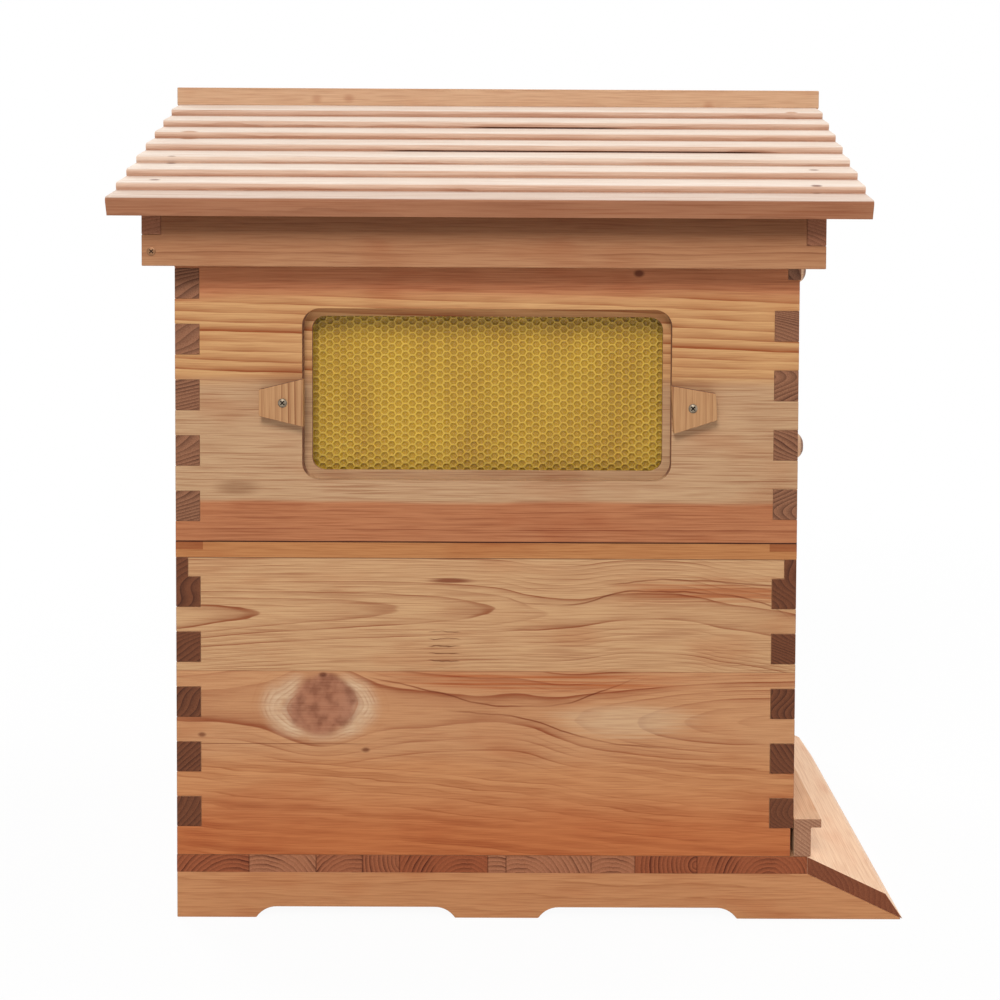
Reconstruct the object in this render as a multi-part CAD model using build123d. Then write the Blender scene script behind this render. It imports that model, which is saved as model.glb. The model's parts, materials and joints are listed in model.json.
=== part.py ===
from build123d import *
from math import cos, radians, sin, tan
import os

# Driving dimensions, in millimetres.
# X runs along the hive towards the entrance, Y across it, Z up. The window is on the -Y side.

# hive boxes
body_length = 506.4
body_width = 413.0
wall = 20.0
box_height = 246.0
rest_depth = 10.0
rest_height = 16.0

# box joint fingers: the margins below the first and above the last finger of each corner
finger_height = 25.0
brood_finger_below = 23.5
brood_finger_count = 5
super_back_finger_below = 16.8
super_back_finger_above = 23.0
super_back_finger_count = 5
super_front_finger_below = 20.0
super_front_finger_above = 25.0
super_front_finger_count = 4
short_strip = 2.5

# base
rail_height = 38.0
arch_height = 9.0
arch_radius = 20.0
arch_width = 170.0
arch_centres = (-106.5, 125.5)
floor_thickness = 14.3
floor_overhang = 11.5
floor_joints = (-194.0, -139.0, -101.0, -70.5, 2.0, 17.0, 87.0, 123.0, 174.0)
landing_run = 65.0
landing_drop = 30.7
landing_ground_gap = 0.5
rail_toe = 2.0

# entrance
entrance_width = 300.0
entrance_height = 16.0
bar_gap = 0.5
bar_thickness = 14.0
bar_height = 31.4
bar_lip_reach = 8.5
bar_lip_height = 7.4
bee_door_width = 100.0
bee_door_height = 10.0

# brood frames
brood_frame_count = 10
brood_side_gap = 6.5
lug_end_play = 1.5
top_bar_width = 27.0
top_bar_height = 19.0
lug_height = 10.0
side_bar_thickness = 9.5
side_bar_play = 1.0
side_bar_narrow = 27.0
side_bar_shoulder = 75.0
end_bee_space = 5.0
floor_bee_space = 12.0
bottom_bar_width = 19.0
bottom_bar_height = 9.0
foundation_thickness = 2.0

# queen excluder
excluder_height = 12.5
excluder_rail = 21.0
grid_thickness = 1.6
grid_insert = 6.0
grid_play = 0.1
grid_slot = 4.2
grid_rows = 21
grid_columns = 2
grid_web = 10.0

# window in the near wall of the super
window_width = 300.0
window_height = 139.5
window_radius = 14.0
window_inner_radius = 10.5
window_centre_height = 121.0
window_ledge = 6.5
window_ledge_thickness = 4.0
pane_thickness = 3.0
pane_lap = 6.0
pane_play = 0.5
pane_set_back = 1.0

# turn buttons beside the window
latch_thickness = 9.0
latch_pivot_to_wide = 16.4
latch_pivot_to_narrow = 19.2
latch_wide = 38.8
latch_narrow = 21.5
latch_left_overhang = 1.9
latch_left_height = 114.5
latch_left_turn = 0.0
latch_right_overhang = -0.1
latch_right_height = 111.5
latch_right_turn = 4.0
latch_screw_radius = 2.0
latch_bore_play = 0.05
latch_screw_depth = 10.0
latch_head_radius = 3.7
latch_head_height = 1.6

# harvest end of the super
key_sill_drop = 30.5
key_cover_thickness = 9.5
key_cover_top_gap = 5.0
key_cover_proud = 1.2
key_knob_rise = 7.5
shutter_height = 100.0
shutter_bottom = 6.0
shutter_recess = 12.0
shutter_ledge = 6.0
shutter_play = 0.5
shutter_proud = 0.5
knob_radius = 12.5
knob_neck_radius = 6.5
knob_neck_length = 24.0
knob_length = 40.2
knob_crown = 5.0
knob_end_radius = 8.0

# flow frames
flow_frame_count = 7
flow_side_gap = 2.75
flow_frame_play = 1.5
flow_end_play = 0.5
flow_end_plate = 6.0
flow_bottom = 8.0
flow_top_gap = 4.0
flow_back_lug = 9.5
flow_cap_strip = 4.0
trough_width = 26.0
trough_height = 20.0
trough_wall = 2.5
comb_base = 6.0
honey_slot_width = 16.0
honey_slot_end = 20.0
comb_set_back = 1.5
comb_end_gap = 3.0
leaf_pitch = 17.1
leaf_thickness = 10.4
leaf_travel = 3.1
leaf_travel_room = 0.9
comb_bar = 4.0
comb_top_gap = 2.5
key_slot_width = 10.0
key_slot_height = 8.0
key_slot_depth = 12.0
key_slot_spacing = 12.0
outlet_radius = 8.0
outlet_sides = 8
cap_plug_play = 0.3
cap_plug_length = 5.0
cap_tab_width = 26.0
cap_tab_height = 20.0
cap_tab_thickness = 4.0
cap_sill_gap = 0.3
cap_side_gap = 1.5

# inner cover
cover_thickness = 9.0
cover_hole_length = 90.0
cover_hole_width = 40.0

# roof
skirt_end_play = 3.5
skirt_side_play = 6.5
skirt_board = 15.5
skirt_overlap = 21.5
roof_shift = -2.0
back_finger_rise = 25.0
key_cover_gap = 2.0
roof_slope = 22.2
eave_overhang = 21.5
eave_height = 39.2
slat_overhang = 26.6
slat_shift = 5.2
slat_count = 8
slat_thickness = 15.2
slat_step = 6.0
slat_lap = 7.0
slat_lap_height = 5.0
slat_nose = 1.2
ridge_board_thickness = 16.0
ridge_overhang = 3.0
cleat_thickness = 18.0
cleat_height = 19.5
cleat_play = 1.5

# Levels and planes that follow from the sizes above.
half_length = body_length / 2
half_width = body_width / 2
inner_half_length = half_length - wall
inner_half_width = half_width - wall
floor_top = rail_height + floor_thickness
brood_top = floor_top + box_height
super_bottom = brood_top + excluder_height
super_top = super_bottom + box_height
cover_top = super_top + cover_thickness
key_sill_height = box_height - key_sill_drop
floor_front = half_length + floor_overhang
landing_tip = floor_front + (rail_height - landing_ground_gap) * landing_run / landing_drop
skirt_inner_x = half_length + skirt_end_play
skirt_inner_y = half_width + skirt_side_play
skirt_x = skirt_inner_x + skirt_board
skirt_y = skirt_inner_y + skirt_board
eave_half_width = skirt_y + eave_overhang
slat_x0 = slat_shift - skirt_x - slat_overhang
slat_x1 = slat_shift + skirt_x + slat_overhang
slope = radians(roof_slope)
eave_z = super_bottom + box_height - skirt_overlap + eave_height
slat_pitch = eave_half_width / cos(slope) / slat_count
ridge_x0 = slat_x0 - ridge_overhang
ridge_x1 = slat_x1 + ridge_overhang
hive_x = -(landing_tip + roof_shift + ridge_x0) / 2

os.makedirs("parts", exist_ok=True)


def save(node, *solids):
    """Write one node, moved so that the origin is under the middle of the whole hive."""
    pieces = [Pos(hive_x, 0, 0) * solid for solid in solids]
    shape = pieces[0] if len(pieces) == 1 else Compound(children=pieces)
    export_step(shape, "parts/" + node + ".step")


def block(x0, x1, y0, y1, z0, z1):
    """A square-cut board between two corners."""
    centre = Pos((x0 + x1) / 2, (y0 + y1) / 2, (z0 + z1) / 2)
    return centre * Box(x1 - x0, y1 - y0, z1 - z0)


def along_y(points, y0, y1):
    """A board with an outline in the XZ plane, running from y0 to y1."""
    face = make_face(Polyline(*[(x, y0, z) for x, z in points], close=True))
    return extrude(face, amount=y1 - y0, dir=(0, 1, 0))


def along_x(points, x0, x1):
    """A board with an outline in the YZ plane, running from x0 to x1."""
    face = make_face(Polyline(*[(x0, y, z) for y, z in points], close=True))
    return extrude(face, amount=x1 - x0, dir=(1, 0, 0))


def rounded_plate(width, height, radius, centre_x, centre_z, y0, y1):
    """A rounded rectangle in the XZ plane, from y0 to y1."""
    plane = Plane(origin=(centre_x, y0, centre_z), x_dir=(1, 0, 0), z_dir=(0, 1, 0))
    return extrude(plane * RectangleRounded(width, height, radius), amount=y1 - y0, dir=(0, 1, 0))


def far_side(solid):
    """The same piece on the other side of the hive."""
    return mirror(solid, about=Plane.XZ)


def finger_spans(low, high, count):
    """Bottom and top of each finger of a corner joint that spreads from low to high in the box."""
    pitch = (high - low - finger_height) / (count - 1)
    return [(low + i * pitch, low + i * pitch + finger_height) for i in range(count)]


def end_fingers(end, spans, z_base, thickness=wall):
    """Fingers of an end wall that reach into the side walls; end is -1 at the back, 1 at the front."""
    outer = half_length
    inner = half_length - thickness
    x0, x1 = (inner, outer) if end > 0 else (-outer, -inner)
    solids = []
    for low, high in spans:
        for y0, y1 in ((-half_width, -inner_half_width), (inner_half_width, half_width)):
            solids.append(block(x0, x1, y0, y1, z_base + low, z_base + high))
    return solids


def end_core(end, z0, z1):
    """The part of an end wall that lies between the side walls."""
    x0, x1 = (inner_half_length, half_length) if end > 0 else (-half_length, -inner_half_length)
    return block(x0, x1, -inner_half_width, inner_half_width, z0, z1)


def frame_rest(end, z_top):
    """The rebate along the inner top edge of an end wall, where frame lugs sit."""
    x0, x1 = (inner_half_length, inner_half_length + rest_depth)
    if end < 0:
        x0, x1 = (-x1, -x0)
    return block(x0, x1, -inner_half_width, inner_half_width, z_top - rest_height, z_top)


def side_wall(z_base):
    """The near wall of a box before its joints are cut."""
    return block(-half_length, half_length, -half_width, -inner_half_width, z_base, z_base + box_height)


def knob(x, z):
    """A turned knob that stands on a face at x and points along +X."""
    outline = Polyline(
        (0, 0),
        (0, knob_neck_radius),
        (knob_neck_length, knob_neck_radius),
        (knob_neck_length, knob_radius),
        (knob_length - knob_crown, knob_radius),
        (knob_length, knob_end_radius),
        (knob_length, 0),
        close=True,
    )
    return Pos(x, 0, z) * revolve(make_face(outline), axis=Axis.X)


# Base: two long rails with feet, two cross rails, a floor of short boards and a sloping landing board.
landing_slope = landing_drop / landing_run


def under_landing(x):
    """Height of the underside of the landing board at x."""
    return rail_height - landing_slope * (x - floor_front)


rail_end = landing_tip - rail_toe
rail_outline = [
    (-half_length, 0),
    (rail_end, 0),
    (rail_end, under_landing(rail_end)),
    (floor_front, rail_height),
    (-half_length, rail_height),
]
near_rail = along_y(rail_outline, -half_width, -inner_half_width)
arch_cut = arch_height + 2 * arch_radius
arch_z = arch_height - arch_cut / 2
for centre in arch_centres:
    near_rail -= rounded_plate(
        arch_width, arch_cut, arch_radius, centre, arch_z, -half_width, -inner_half_width
    )
save("base_rail_near", near_rail)
save("base_rail_far", far_side(near_rail))
back_rail = block(-half_length, -inner_half_length, -inner_half_width, inner_half_width, 0, rail_height)
front_rail = block(floor_front - wall, floor_front, -inner_half_width, inner_half_width, 0, rail_height)
save("base_rail_back", back_rail)
save("base_rail_front", front_rail)

board_edges = (-half_length,) + floor_joints + (floor_front,)
floor_boards = [
    block(left, right, -half_width, half_width, rail_height, floor_top)
    for left, right in zip(board_edges[:-1], board_edges[1:])
]
save("floor_boards", *floor_boards)

landing_outline = [
    (floor_front, rail_height),
    (landing_tip, landing_ground_gap),
    (floor_front + landing_run, floor_top - landing_drop),
    (floor_front, floor_top),
]
save("landing_board", along_y(landing_outline, -half_width, half_width))

# Entrance bar: a batten with a lip that stands across the entrance, with a low door for the bees.
bar_back = half_length + bar_gap
bar_front = bar_back + bar_thickness
bar_top = floor_top + bar_height
bar_outline = [
    (bar_back, floor_top),
    (bar_front, floor_top),
    (bar_front, bar_top - bar_lip_height),
    (bar_front + bar_lip_reach, bar_top - bar_lip_height),
    (bar_front + bar_lip_reach, bar_top),
    (bar_back, bar_top),
]
bee_door = block(
    bar_back, bar_front, -bee_door_width / 2, bee_door_width / 2, floor_top, floor_top + bee_door_height
)
save("entrance_bar", along_y(bar_outline, -half_width, half_width) - bee_door)

# Brood box: four walls with finger joints; the end walls carry the frames.
rest_bottom = box_height - rest_height
brood_spans = finger_spans(brood_finger_below, rest_bottom, brood_finger_count)
brood_thin_spans = [(rest_bottom, box_height)]
thin = wall - rest_depth

brood_end_fingers = {}
brood_end_walls = {}
for end in (-1, 1):
    fingers = end_fingers(end, brood_spans, floor_top)
    fingers += end_fingers(end, brood_thin_spans, floor_top, thin)
    brood_end_fingers[end] = fingers
    core = end_core(end, floor_top, brood_top) - frame_rest(end, brood_top)
    brood_end_walls[end] = core + fingers

entrance_slot = block(
    inner_half_length,
    half_length,
    -entrance_width / 2,
    entrance_width / 2,
    floor_top,
    floor_top + entrance_height,
)
save("brood_wall_back", brood_end_walls[-1])
save("brood_wall_front", brood_end_walls[1] - entrance_slot)

lowest_strip = block(
    half_length - short_strip,
    half_length,
    -half_width,
    -inner_half_width,
    floor_top,
    floor_top + brood_finger_below,
)
brood_near = side_wall(floor_top) - brood_end_fingers[-1] - brood_end_fingers[1] - lowest_strip
save("brood_wall_near", brood_near)
save("brood_wall_far", far_side(brood_near))

# Brood frames: top bar with lugs, two side bars with spacing shoulders, bottom bar and foundation.
lug_bottom = floor_top + rest_bottom
bar_z1 = lug_bottom + lug_height
bar_z0 = bar_z1 - top_bar_height
frame_half = inner_half_length - end_bee_space
lug_end = inner_half_length + rest_depth - lug_end_play
frame_z0 = floor_top + floor_bee_space
top_bar_outline = [
    (-frame_half, bar_z0),
    (frame_half, bar_z0),
    (frame_half, lug_bottom),
    (lug_end, lug_bottom),
    (lug_end, bar_z1),
    (-lug_end, bar_z1),
    (-lug_end, lug_bottom),
    (-frame_half, lug_bottom),
]
brood_frame_pitch = 2 * (inner_half_width - brood_side_gap) / brood_frame_count
side_bar_wide = brood_frame_pitch - side_bar_play
shoulder_z = bar_z0 - side_bar_shoulder
side_bar_outline = [
    (-side_bar_narrow / 2, frame_z0),
    (side_bar_narrow / 2, frame_z0),
    (side_bar_narrow / 2, shoulder_z - (side_bar_wide - side_bar_narrow)),
    (side_bar_wide / 2, shoulder_z),
    (side_bar_wide / 2, bar_z0),
    (-side_bar_wide / 2, bar_z0),
    (-side_bar_wide / 2, shoulder_z),
    (-side_bar_narrow / 2, shoulder_z - (side_bar_wide - side_bar_narrow)),
]
clear_half = frame_half - side_bar_thickness
bottom_bar_z1 = frame_z0 + bottom_bar_height
bottom_bar_half = bottom_bar_width / 2
foundation_half = foundation_thickness / 2
brood_frame = [
    along_y(top_bar_outline, -top_bar_width / 2, top_bar_width / 2),
    along_x(side_bar_outline, -frame_half, -clear_half),
    along_x(side_bar_outline, clear_half, frame_half),
    block(-clear_half, clear_half, -bottom_bar_half, bottom_bar_half, frame_z0, bottom_bar_z1),
    block(-clear_half, clear_half, -foundation_half, foundation_half, bottom_bar_z1, bar_z0),
]
for i in range(brood_frame_count):
    across = (i - (brood_frame_count - 1) / 2) * brood_frame_pitch
    save("brood_frame_%d" % (i + 1), *[Pos(0, across, 0) * solid for solid in brood_frame])

# Queen excluder: a half-lapped wooden rim with a slotted grid held in a groove.
rim_half_length = half_length - excluder_rail
rim_half_width = half_width - excluder_rail
lap_z = brood_top + excluder_height / 2
grid_half_length = rim_half_length + grid_insert
grid_half_width = rim_half_width + grid_insert
grid_z0 = lap_z - grid_thickness / 2
grid_z1 = lap_z + grid_thickness / 2
groove = block(
    -grid_half_length - grid_play,
    grid_half_length + grid_play,
    -grid_half_width - grid_play,
    grid_half_width + grid_play,
    grid_z0 - grid_play,
    grid_z1 + grid_play,
)
end_rail = block(rim_half_length, half_length, -rim_half_width, rim_half_width, brood_top, super_bottom)
end_laps = [
    block(rim_half_length, half_length, -half_width, -rim_half_width, lap_z, super_bottom),
    block(rim_half_length, half_length, rim_half_width, half_width, lap_z, super_bottom),
]
front_rim = (end_rail + end_laps) - groove
back_rim = mirror(front_rim, about=Plane.YZ)
near_rim = block(-half_length, half_length, -half_width, -rim_half_width, brood_top, super_bottom)
near_rim -= end_laps[0]
near_rim -= mirror(end_laps[0], about=Plane.YZ)
near_rim -= groove
save("excluder_rim", near_rim, far_side(near_rim), front_rim, back_rim)

grid_face = Rectangle(2 * grid_half_length, 2 * grid_half_width)
slot_length = (2 * rim_half_length - (grid_columns + 1) * grid_web) / grid_columns
slot_pitch = 2 * rim_half_width / grid_rows
slot_places = GridLocations(slot_length + grid_web, slot_pitch, grid_columns, grid_rows)
grid_face -= slot_places * Rectangle(slot_length, grid_slot)
save("excluder_grid", Pos(0, 0, grid_z0) * extrude(grid_face, amount=grid_thickness))

# Honey super: walls with finger joints, a glazed window on the near side and a harvest end.
super_back_spans = finger_spans(
    super_back_finger_below, box_height - super_back_finger_above, super_back_finger_count
)
super_front_spans = finger_spans(
    super_front_finger_below, key_sill_height - super_front_finger_above, super_front_finger_count
)
back_fingers = end_fingers(-1, super_back_spans, super_bottom)
front_fingers = end_fingers(1, super_front_spans, super_bottom)
key_sill_z = super_bottom + key_sill_height
key_cover_x = half_length - key_cover_thickness

back_core = end_core(-1, super_bottom, super_top) - frame_rest(-1, super_top)
save("super_wall_back", back_core + back_fingers)

shutter_z0 = super_bottom + shutter_bottom
shutter_z1 = shutter_z0 + shutter_height
shutter_seat_x = half_length - shutter_recess
flow_frame_pitch = 2 * (inner_half_width - flow_side_gap) / flow_frame_count
outlet_half_width = (flow_frame_count - 1) * flow_frame_pitch / 2 + cap_tab_width / 2 + cap_side_gap
shutter_half_width = outlet_half_width + shutter_ledge
shutter_seat = block(
    shutter_seat_x, half_length, -shutter_half_width, shutter_half_width, shutter_z0, shutter_z1
)
outlet_z0 = shutter_z0 + shutter_ledge
outlet_opening = block(
    inner_half_length,
    shutter_seat_x,
    -outlet_half_width,
    outlet_half_width,
    outlet_z0,
    shutter_z1 - shutter_ledge,
)
front_core = end_core(1, super_bottom, key_sill_z) - shutter_seat - outlet_opening
save("super_wall_front", front_core + front_fingers)

key_notch = block(key_cover_x, half_length, -half_width, -inner_half_width, key_sill_z, super_top)
jointed_side = side_wall(super_bottom) - back_fingers - front_fingers - key_notch
save("super_wall_far", far_side(jointed_side))

window_z = super_bottom + window_centre_height
pane_y = -inner_half_width - pane_set_back - pane_thickness
ledge_y = pane_y - window_ledge_thickness
clear_width = window_width - 2 * window_ledge
clear_height = window_height - 2 * window_ledge
pane_width = clear_width + 2 * pane_lap
pane_height = clear_height + 2 * pane_lap
window_seat = rounded_plate(
    window_width, window_height, window_radius, 0, window_z, -half_width, ledge_y
)
window_hole = rounded_plate(
    clear_width, clear_height, window_inner_radius, 0, window_z, ledge_y, pane_y
)
pane_seat = block(
    -pane_width / 2 - pane_play,
    pane_width / 2 + pane_play,
    pane_y,
    -inner_half_width,
    window_z - pane_height / 2 - pane_play,
    window_z + pane_height / 2 + pane_play,
)
latch_left_x = -window_width / 2 - latch_pivot_to_wide + latch_left_overhang
latch_right_x = window_width / 2 + latch_pivot_to_wide - latch_right_overhang
screw_spots = (
    (latch_left_x, super_bottom + latch_left_height),
    (latch_right_x, super_bottom + latch_right_height),
)


def along_wall(radius, x, z, start, end):
    """A round bar square to the near wall; start and end are measured outwards from the wall's face."""
    disc = Plane(origin=(x, -half_width - start, z), x_dir=(1, 0, 0), z_dir=(0, -1, 0)) * Circle(radius)
    return extrude(disc, amount=end - start)


glazed_side = jointed_side - window_seat - window_hole - pane_seat
for x, z in screw_spots:
    glazed_side -= along_wall(latch_screw_radius, x, z, -latch_screw_depth, 0)
save("super_wall_near", glazed_side)
window_pane = block(
    -pane_width / 2,
    pane_width / 2,
    pane_y,
    pane_y + pane_thickness,
    window_z - pane_height / 2,
    window_z + pane_height / 2,
)
save("window_pane", window_pane)

# Turn buttons: a tapered wooden block on one screw, the wide end beside the window at rest.
head_start = latch_thickness
screws = []
for x, z in screw_spots:
    shank = along_wall(latch_screw_radius, x, z, -latch_screw_depth, head_start)
    head = along_wall(latch_head_radius, x, z, head_start, head_start + latch_head_height)
    screws.append(shank + head)
save("window_latch_screws", *screws)


def turn_button(x, z, towards, turn):
    """towards is 1 where the wide end points along +X; turn is in degrees, seen from the near side."""
    outline = Polygon(
        (towards * latch_pivot_to_wide, -latch_wide / 2),
        (towards * latch_pivot_to_wide, latch_wide / 2),
        (-towards * latch_pivot_to_narrow, latch_narrow / 2),
        (-towards * latch_pivot_to_narrow, -latch_narrow / 2),
        align=None,
    )
    outline -= Circle(latch_screw_radius + latch_bore_play)
    at_wall = Plane(origin=(x, -half_width, z), x_dir=(1, 0, 0), z_dir=(0, -1, 0))
    return extrude(at_wall * Rot(0, 0, turn) * outline, amount=latch_thickness, dir=(0, -1, 0))


save("window_latch_left", turn_button(*screw_spots[0], 1, latch_left_turn))
save("window_latch_right", turn_button(*screw_spots[1], -1, latch_right_turn))

# Harvest end: a shutter over the honey outlets and a strip over the key slots, each with a knob.
shutter_face_x = half_length + shutter_proud
save(
    "harvest_shutter",
    block(
        shutter_seat_x,
        shutter_face_x,
        -shutter_half_width + shutter_play,
        shutter_half_width - shutter_play,
        shutter_z0 + shutter_play,
        shutter_z1 - shutter_play,
    ),
)
save("harvest_knob", knob(shutter_face_x, (shutter_z0 + shutter_z1) / 2))
key_cover_z1 = super_top - key_cover_top_gap
key_cover_face_x = half_length + key_cover_proud
key_cover = block(key_cover_x, key_cover_face_x, -half_width, half_width, key_sill_z, key_cover_z1)
save("key_cover", key_cover)
save("key_cover_knob", knob(key_cover_face_x, key_sill_z + key_knob_rise))

# Flow frames: end plates, honey trough, fixed comb and cap strip, with a comb of moving leaves between.
plate_out = inner_half_length - flow_end_play
plate_in = plate_out - flow_end_plate
flow_z0 = super_bottom + flow_bottom
flow_z1 = super_top - flow_top_gap
flow_half = (flow_frame_pitch - flow_frame_play) / 2
comb_half_depth = flow_half - comb_set_back
back_lug_z = super_top - rest_height
back_plate_outline = [
    (-plate_in, flow_z0),
    (-plate_in, flow_z1),
    (-plate_out - flow_back_lug, flow_z1),
    (-plate_out - flow_back_lug, back_lug_z),
    (-plate_out, back_lug_z),
    (-plate_out, flow_z0),
]
head_x = key_cover_x - flow_end_play
front_plate_outline = [
    (plate_in, flow_z0),
    (plate_out, flow_z0),
    (plate_out, key_sill_z),
    (head_x, key_sill_z),
    (head_x, flow_z1),
    (plate_in, flow_z1),
]
trough_z1 = flow_z0 + trough_height
trough_floor = flow_z0 + trough_wall
trough_outline = [
    (-trough_width / 2, flow_z0),
    (trough_width / 2, flow_z0),
    (trough_width / 2, trough_z1),
    (trough_width / 2 - trough_wall, trough_z1),
    (trough_width / 2 - trough_wall, trough_floor),
    (-trough_width / 2 + trough_wall, trough_floor),
    (-trough_width / 2 + trough_wall, trough_z1),
    (-trough_width / 2, trough_z1),
]
outlet_z = outlet_z0 + cap_sill_gap + cap_tab_height / 2
strip_z0 = flow_z1 - flow_cap_strip
comb_z0 = trough_z1
leaf_z0 = comb_z0 + comb_base
moving_bar_z1 = strip_z0 - leaf_travel - leaf_travel_room
moving_bar_z0 = moving_bar_z1 - comb_bar
fixed_leaf_z1 = moving_bar_z0 - comb_top_gap
comb_half_length = plate_in - comb_end_gap
leaf_count = int(2 * comb_half_length / leaf_pitch)
first_leaf_x = -(leaf_count - 1) * leaf_pitch / 2


def comb_outline(first, bar_edge, bar_face, leaf_end):
    """A bar with every second leaf on it: a comb in the XZ plane, its bar from bar_edge to bar_face."""
    points = [(-comb_half_length, bar_edge), (-comb_half_length, bar_face)]
    for i in range(first, leaf_count, 2):
        left = first_leaf_x + i * leaf_pitch - leaf_thickness / 2
        right = left + leaf_thickness
        points += [(left, bar_face), (left, leaf_end), (right, leaf_end), (right, bar_face)]
    points += [(comb_half_length, bar_face), (comb_half_length, bar_edge)]
    return points


def outlet_bar(radius, z, x0, x1):
    """A bar of the outlet's shape along X in the middle of a frame."""
    outline = RegularPolygon(radius, outlet_sides)
    return extrude(Plane(origin=(x0, 0, z), x_dir=(0, 1, 0), z_dir=(1, 0, 0)) * outline, amount=x1 - x0)


front_plate = along_y(front_plate_outline, -flow_half, flow_half)
front_plate -= outlet_bar(outlet_radius, outlet_z, plate_in, plate_out)
key_z = (key_sill_z + flow_z1) / 2
for rise in (-key_slot_spacing / 2, key_slot_spacing / 2):
    front_plate -= block(
        head_x - key_slot_depth,
        head_x,
        -key_slot_width / 2,
        key_slot_width / 2,
        key_z + rise - key_slot_height / 2,
        key_z + rise + key_slot_height / 2,
    )
honey_slot_half = comb_half_length - honey_slot_end
honey_slot = block(
    -honey_slot_half, honey_slot_half, -honey_slot_width / 2, honey_slot_width / 2, comb_z0, leaf_z0
)
fixed_outline = comb_outline(0, comb_z0, leaf_z0, fixed_leaf_z1)
moving_outline = comb_outline(1, moving_bar_z1, moving_bar_z0, leaf_z0)
fixed_comb = along_y(fixed_outline, -comb_half_depth, comb_half_depth) - honey_slot
moving_comb = along_y(moving_outline, -comb_half_depth, comb_half_depth)
flow_frame = [
    along_y(back_plate_outline, -flow_half, flow_half),
    front_plate,
    along_x(trough_outline, -plate_in, plate_in),
    block(-plate_in, plate_in, -flow_half, flow_half, strip_z0, flow_z1),
    fixed_comb,
]
outlet_cap = outlet_bar(outlet_radius - cap_plug_play, outlet_z, plate_out - cap_plug_length, plate_out)
outlet_cap += block(
    plate_out,
    plate_out + cap_tab_thickness,
    -cap_tab_width / 2,
    cap_tab_width / 2,
    outlet_z - cap_tab_height / 2,
    outlet_z + cap_tab_height / 2,
)

caps = []
for i in range(flow_frame_count):
    across = Pos(0, (i - (flow_frame_count - 1) / 2) * flow_frame_pitch, 0)
    save("flow_frame_%d" % (i + 1), *[across * solid for solid in flow_frame])
    save("flow_frame_%d_moving_comb" % (i + 1), across * moving_comb)
    caps.append(across * outlet_cap)
save("honey_outlet_caps", *caps)

# Inner cover: a flat board with an oval feed hole.
inner_cover = block(-half_length, half_length, -half_width, half_width, super_top, cover_top)
feed_hole = extrude(SlotOverall(cover_hole_length, cover_hole_width), amount=cover_thickness)
save("inner_cover", inner_cover - Pos(0, 0, super_top) * feed_hole)

# Roof: a skirt of two gables and two rails, lapped slats on both slopes, a ridge board and two cleats.
skirt_z0 = super_top - skirt_overlap


def save_roof(node, *solids):
    """Write one node of the roof, which sits a little off centre within its end play."""
    save(node, *[Pos(roof_shift, 0, 0) * solid for solid in solids])


def under_slats(y):
    """Height of the underside of the slats at a distance y from the ridge."""
    return eave_z + (eave_half_width - abs(y)) * tan(slope)


back_finger_z = skirt_z0 + back_finger_rise
front_gable_z = key_cover_z1 + key_cover_gap
back_gable_outline = [
    (-skirt_inner_y, skirt_z0),
    (skirt_inner_y, skirt_z0),
    (skirt_inner_y, back_finger_z),
    (skirt_y, back_finger_z),
    (skirt_y, under_slats(skirt_y)),
    (0, under_slats(0)),
    (-skirt_y, under_slats(skirt_y)),
    (-skirt_y, back_finger_z),
    (-skirt_inner_y, back_finger_z),
]
front_gable_outline = [
    (-skirt_y, front_gable_z),
    (skirt_y, front_gable_z),
    (skirt_y, under_slats(skirt_y)),
    (0, under_slats(0)),
    (-skirt_y, under_slats(skirt_y)),
]
save_roof("roof_gable_back", along_x(back_gable_outline, -skirt_x, -skirt_inner_x))
save_roof("roof_gable_front", along_x(front_gable_outline, skirt_inner_x, skirt_x))

rail_section = [
    (-skirt_y, skirt_z0),
    (-skirt_inner_y, skirt_z0),
    (-skirt_inner_y, under_slats(skirt_inner_y)),
    (-skirt_y, under_slats(skirt_y)),
]
ridge_z = under_slats(0)
roof_rail = along_x(rail_section, -skirt_x, skirt_x)
roof_rail -= block(-skirt_x, -skirt_inner_x, -skirt_y, -skirt_inner_y, back_finger_z, ridge_z)
roof_rail -= block(skirt_inner_x, skirt_x, -skirt_y, -skirt_inner_y, front_gable_z, ridge_z)
save_roof("roof_rail_near", roof_rail)
save_roof("roof_rail_far", far_side(roof_rail))


def on_slope(u, n):
    """A point u up the near slope from the eave and n above the underside of the slats, as Y and Z."""
    y = -eave_half_width + u * cos(slope) - n * sin(slope)
    z = eave_z + u * sin(slope) + n * cos(slope)
    return (y, z)


def to_ridge(board):
    """The part of a board that lies on the near side of the ridge."""
    return split(board, bisect_by=Plane.XZ, keep=Keep.TOP)


def slat(k):
    """Lapped slat number k up the near slope, thick at its lower edge, with a bevelled nose."""
    low = k * slat_pitch
    high = low + slat_pitch
    thin_edge = slat_thickness - slat_step
    corners = [(low, 0)]
    if k > 0:
        corners = [(low, slat_lap_height), (low + slat_lap, slat_lap_height), (low + slat_lap, 0)]
    if k < slat_count - 1:
        corners += [(high + slat_lap, 0), (high + slat_lap, slat_lap_height), (high, slat_lap_height)]
        corners += [(high, thin_edge)]
    else:
        corners += [(high + slat_pitch, 0), (high + slat_pitch, thin_edge - slat_step)]
    corners += [(low, slat_thickness)]
    outline = [on_slope(u, n) for u, n in corners]
    face = make_face(Polyline(*[(slat_x0, y, z) for y, z in outline], close=True))
    nose = Vector(slat_x0, *outline[-1])
    corner = min(face.vertices(), key=lambda vertex: (Vector(vertex) - nose).length)
    board = extrude(chamfer(corner, slat_nose), amount=slat_x1 - slat_x0, dir=(1, 0, 0))
    return to_ridge(board)


near_slats = [slat(k) for k in range(slat_count)]
save_roof("roof_slats_near", *near_slats)
save_roof("roof_slats_far", *[far_side(board) for board in near_slats])

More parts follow.
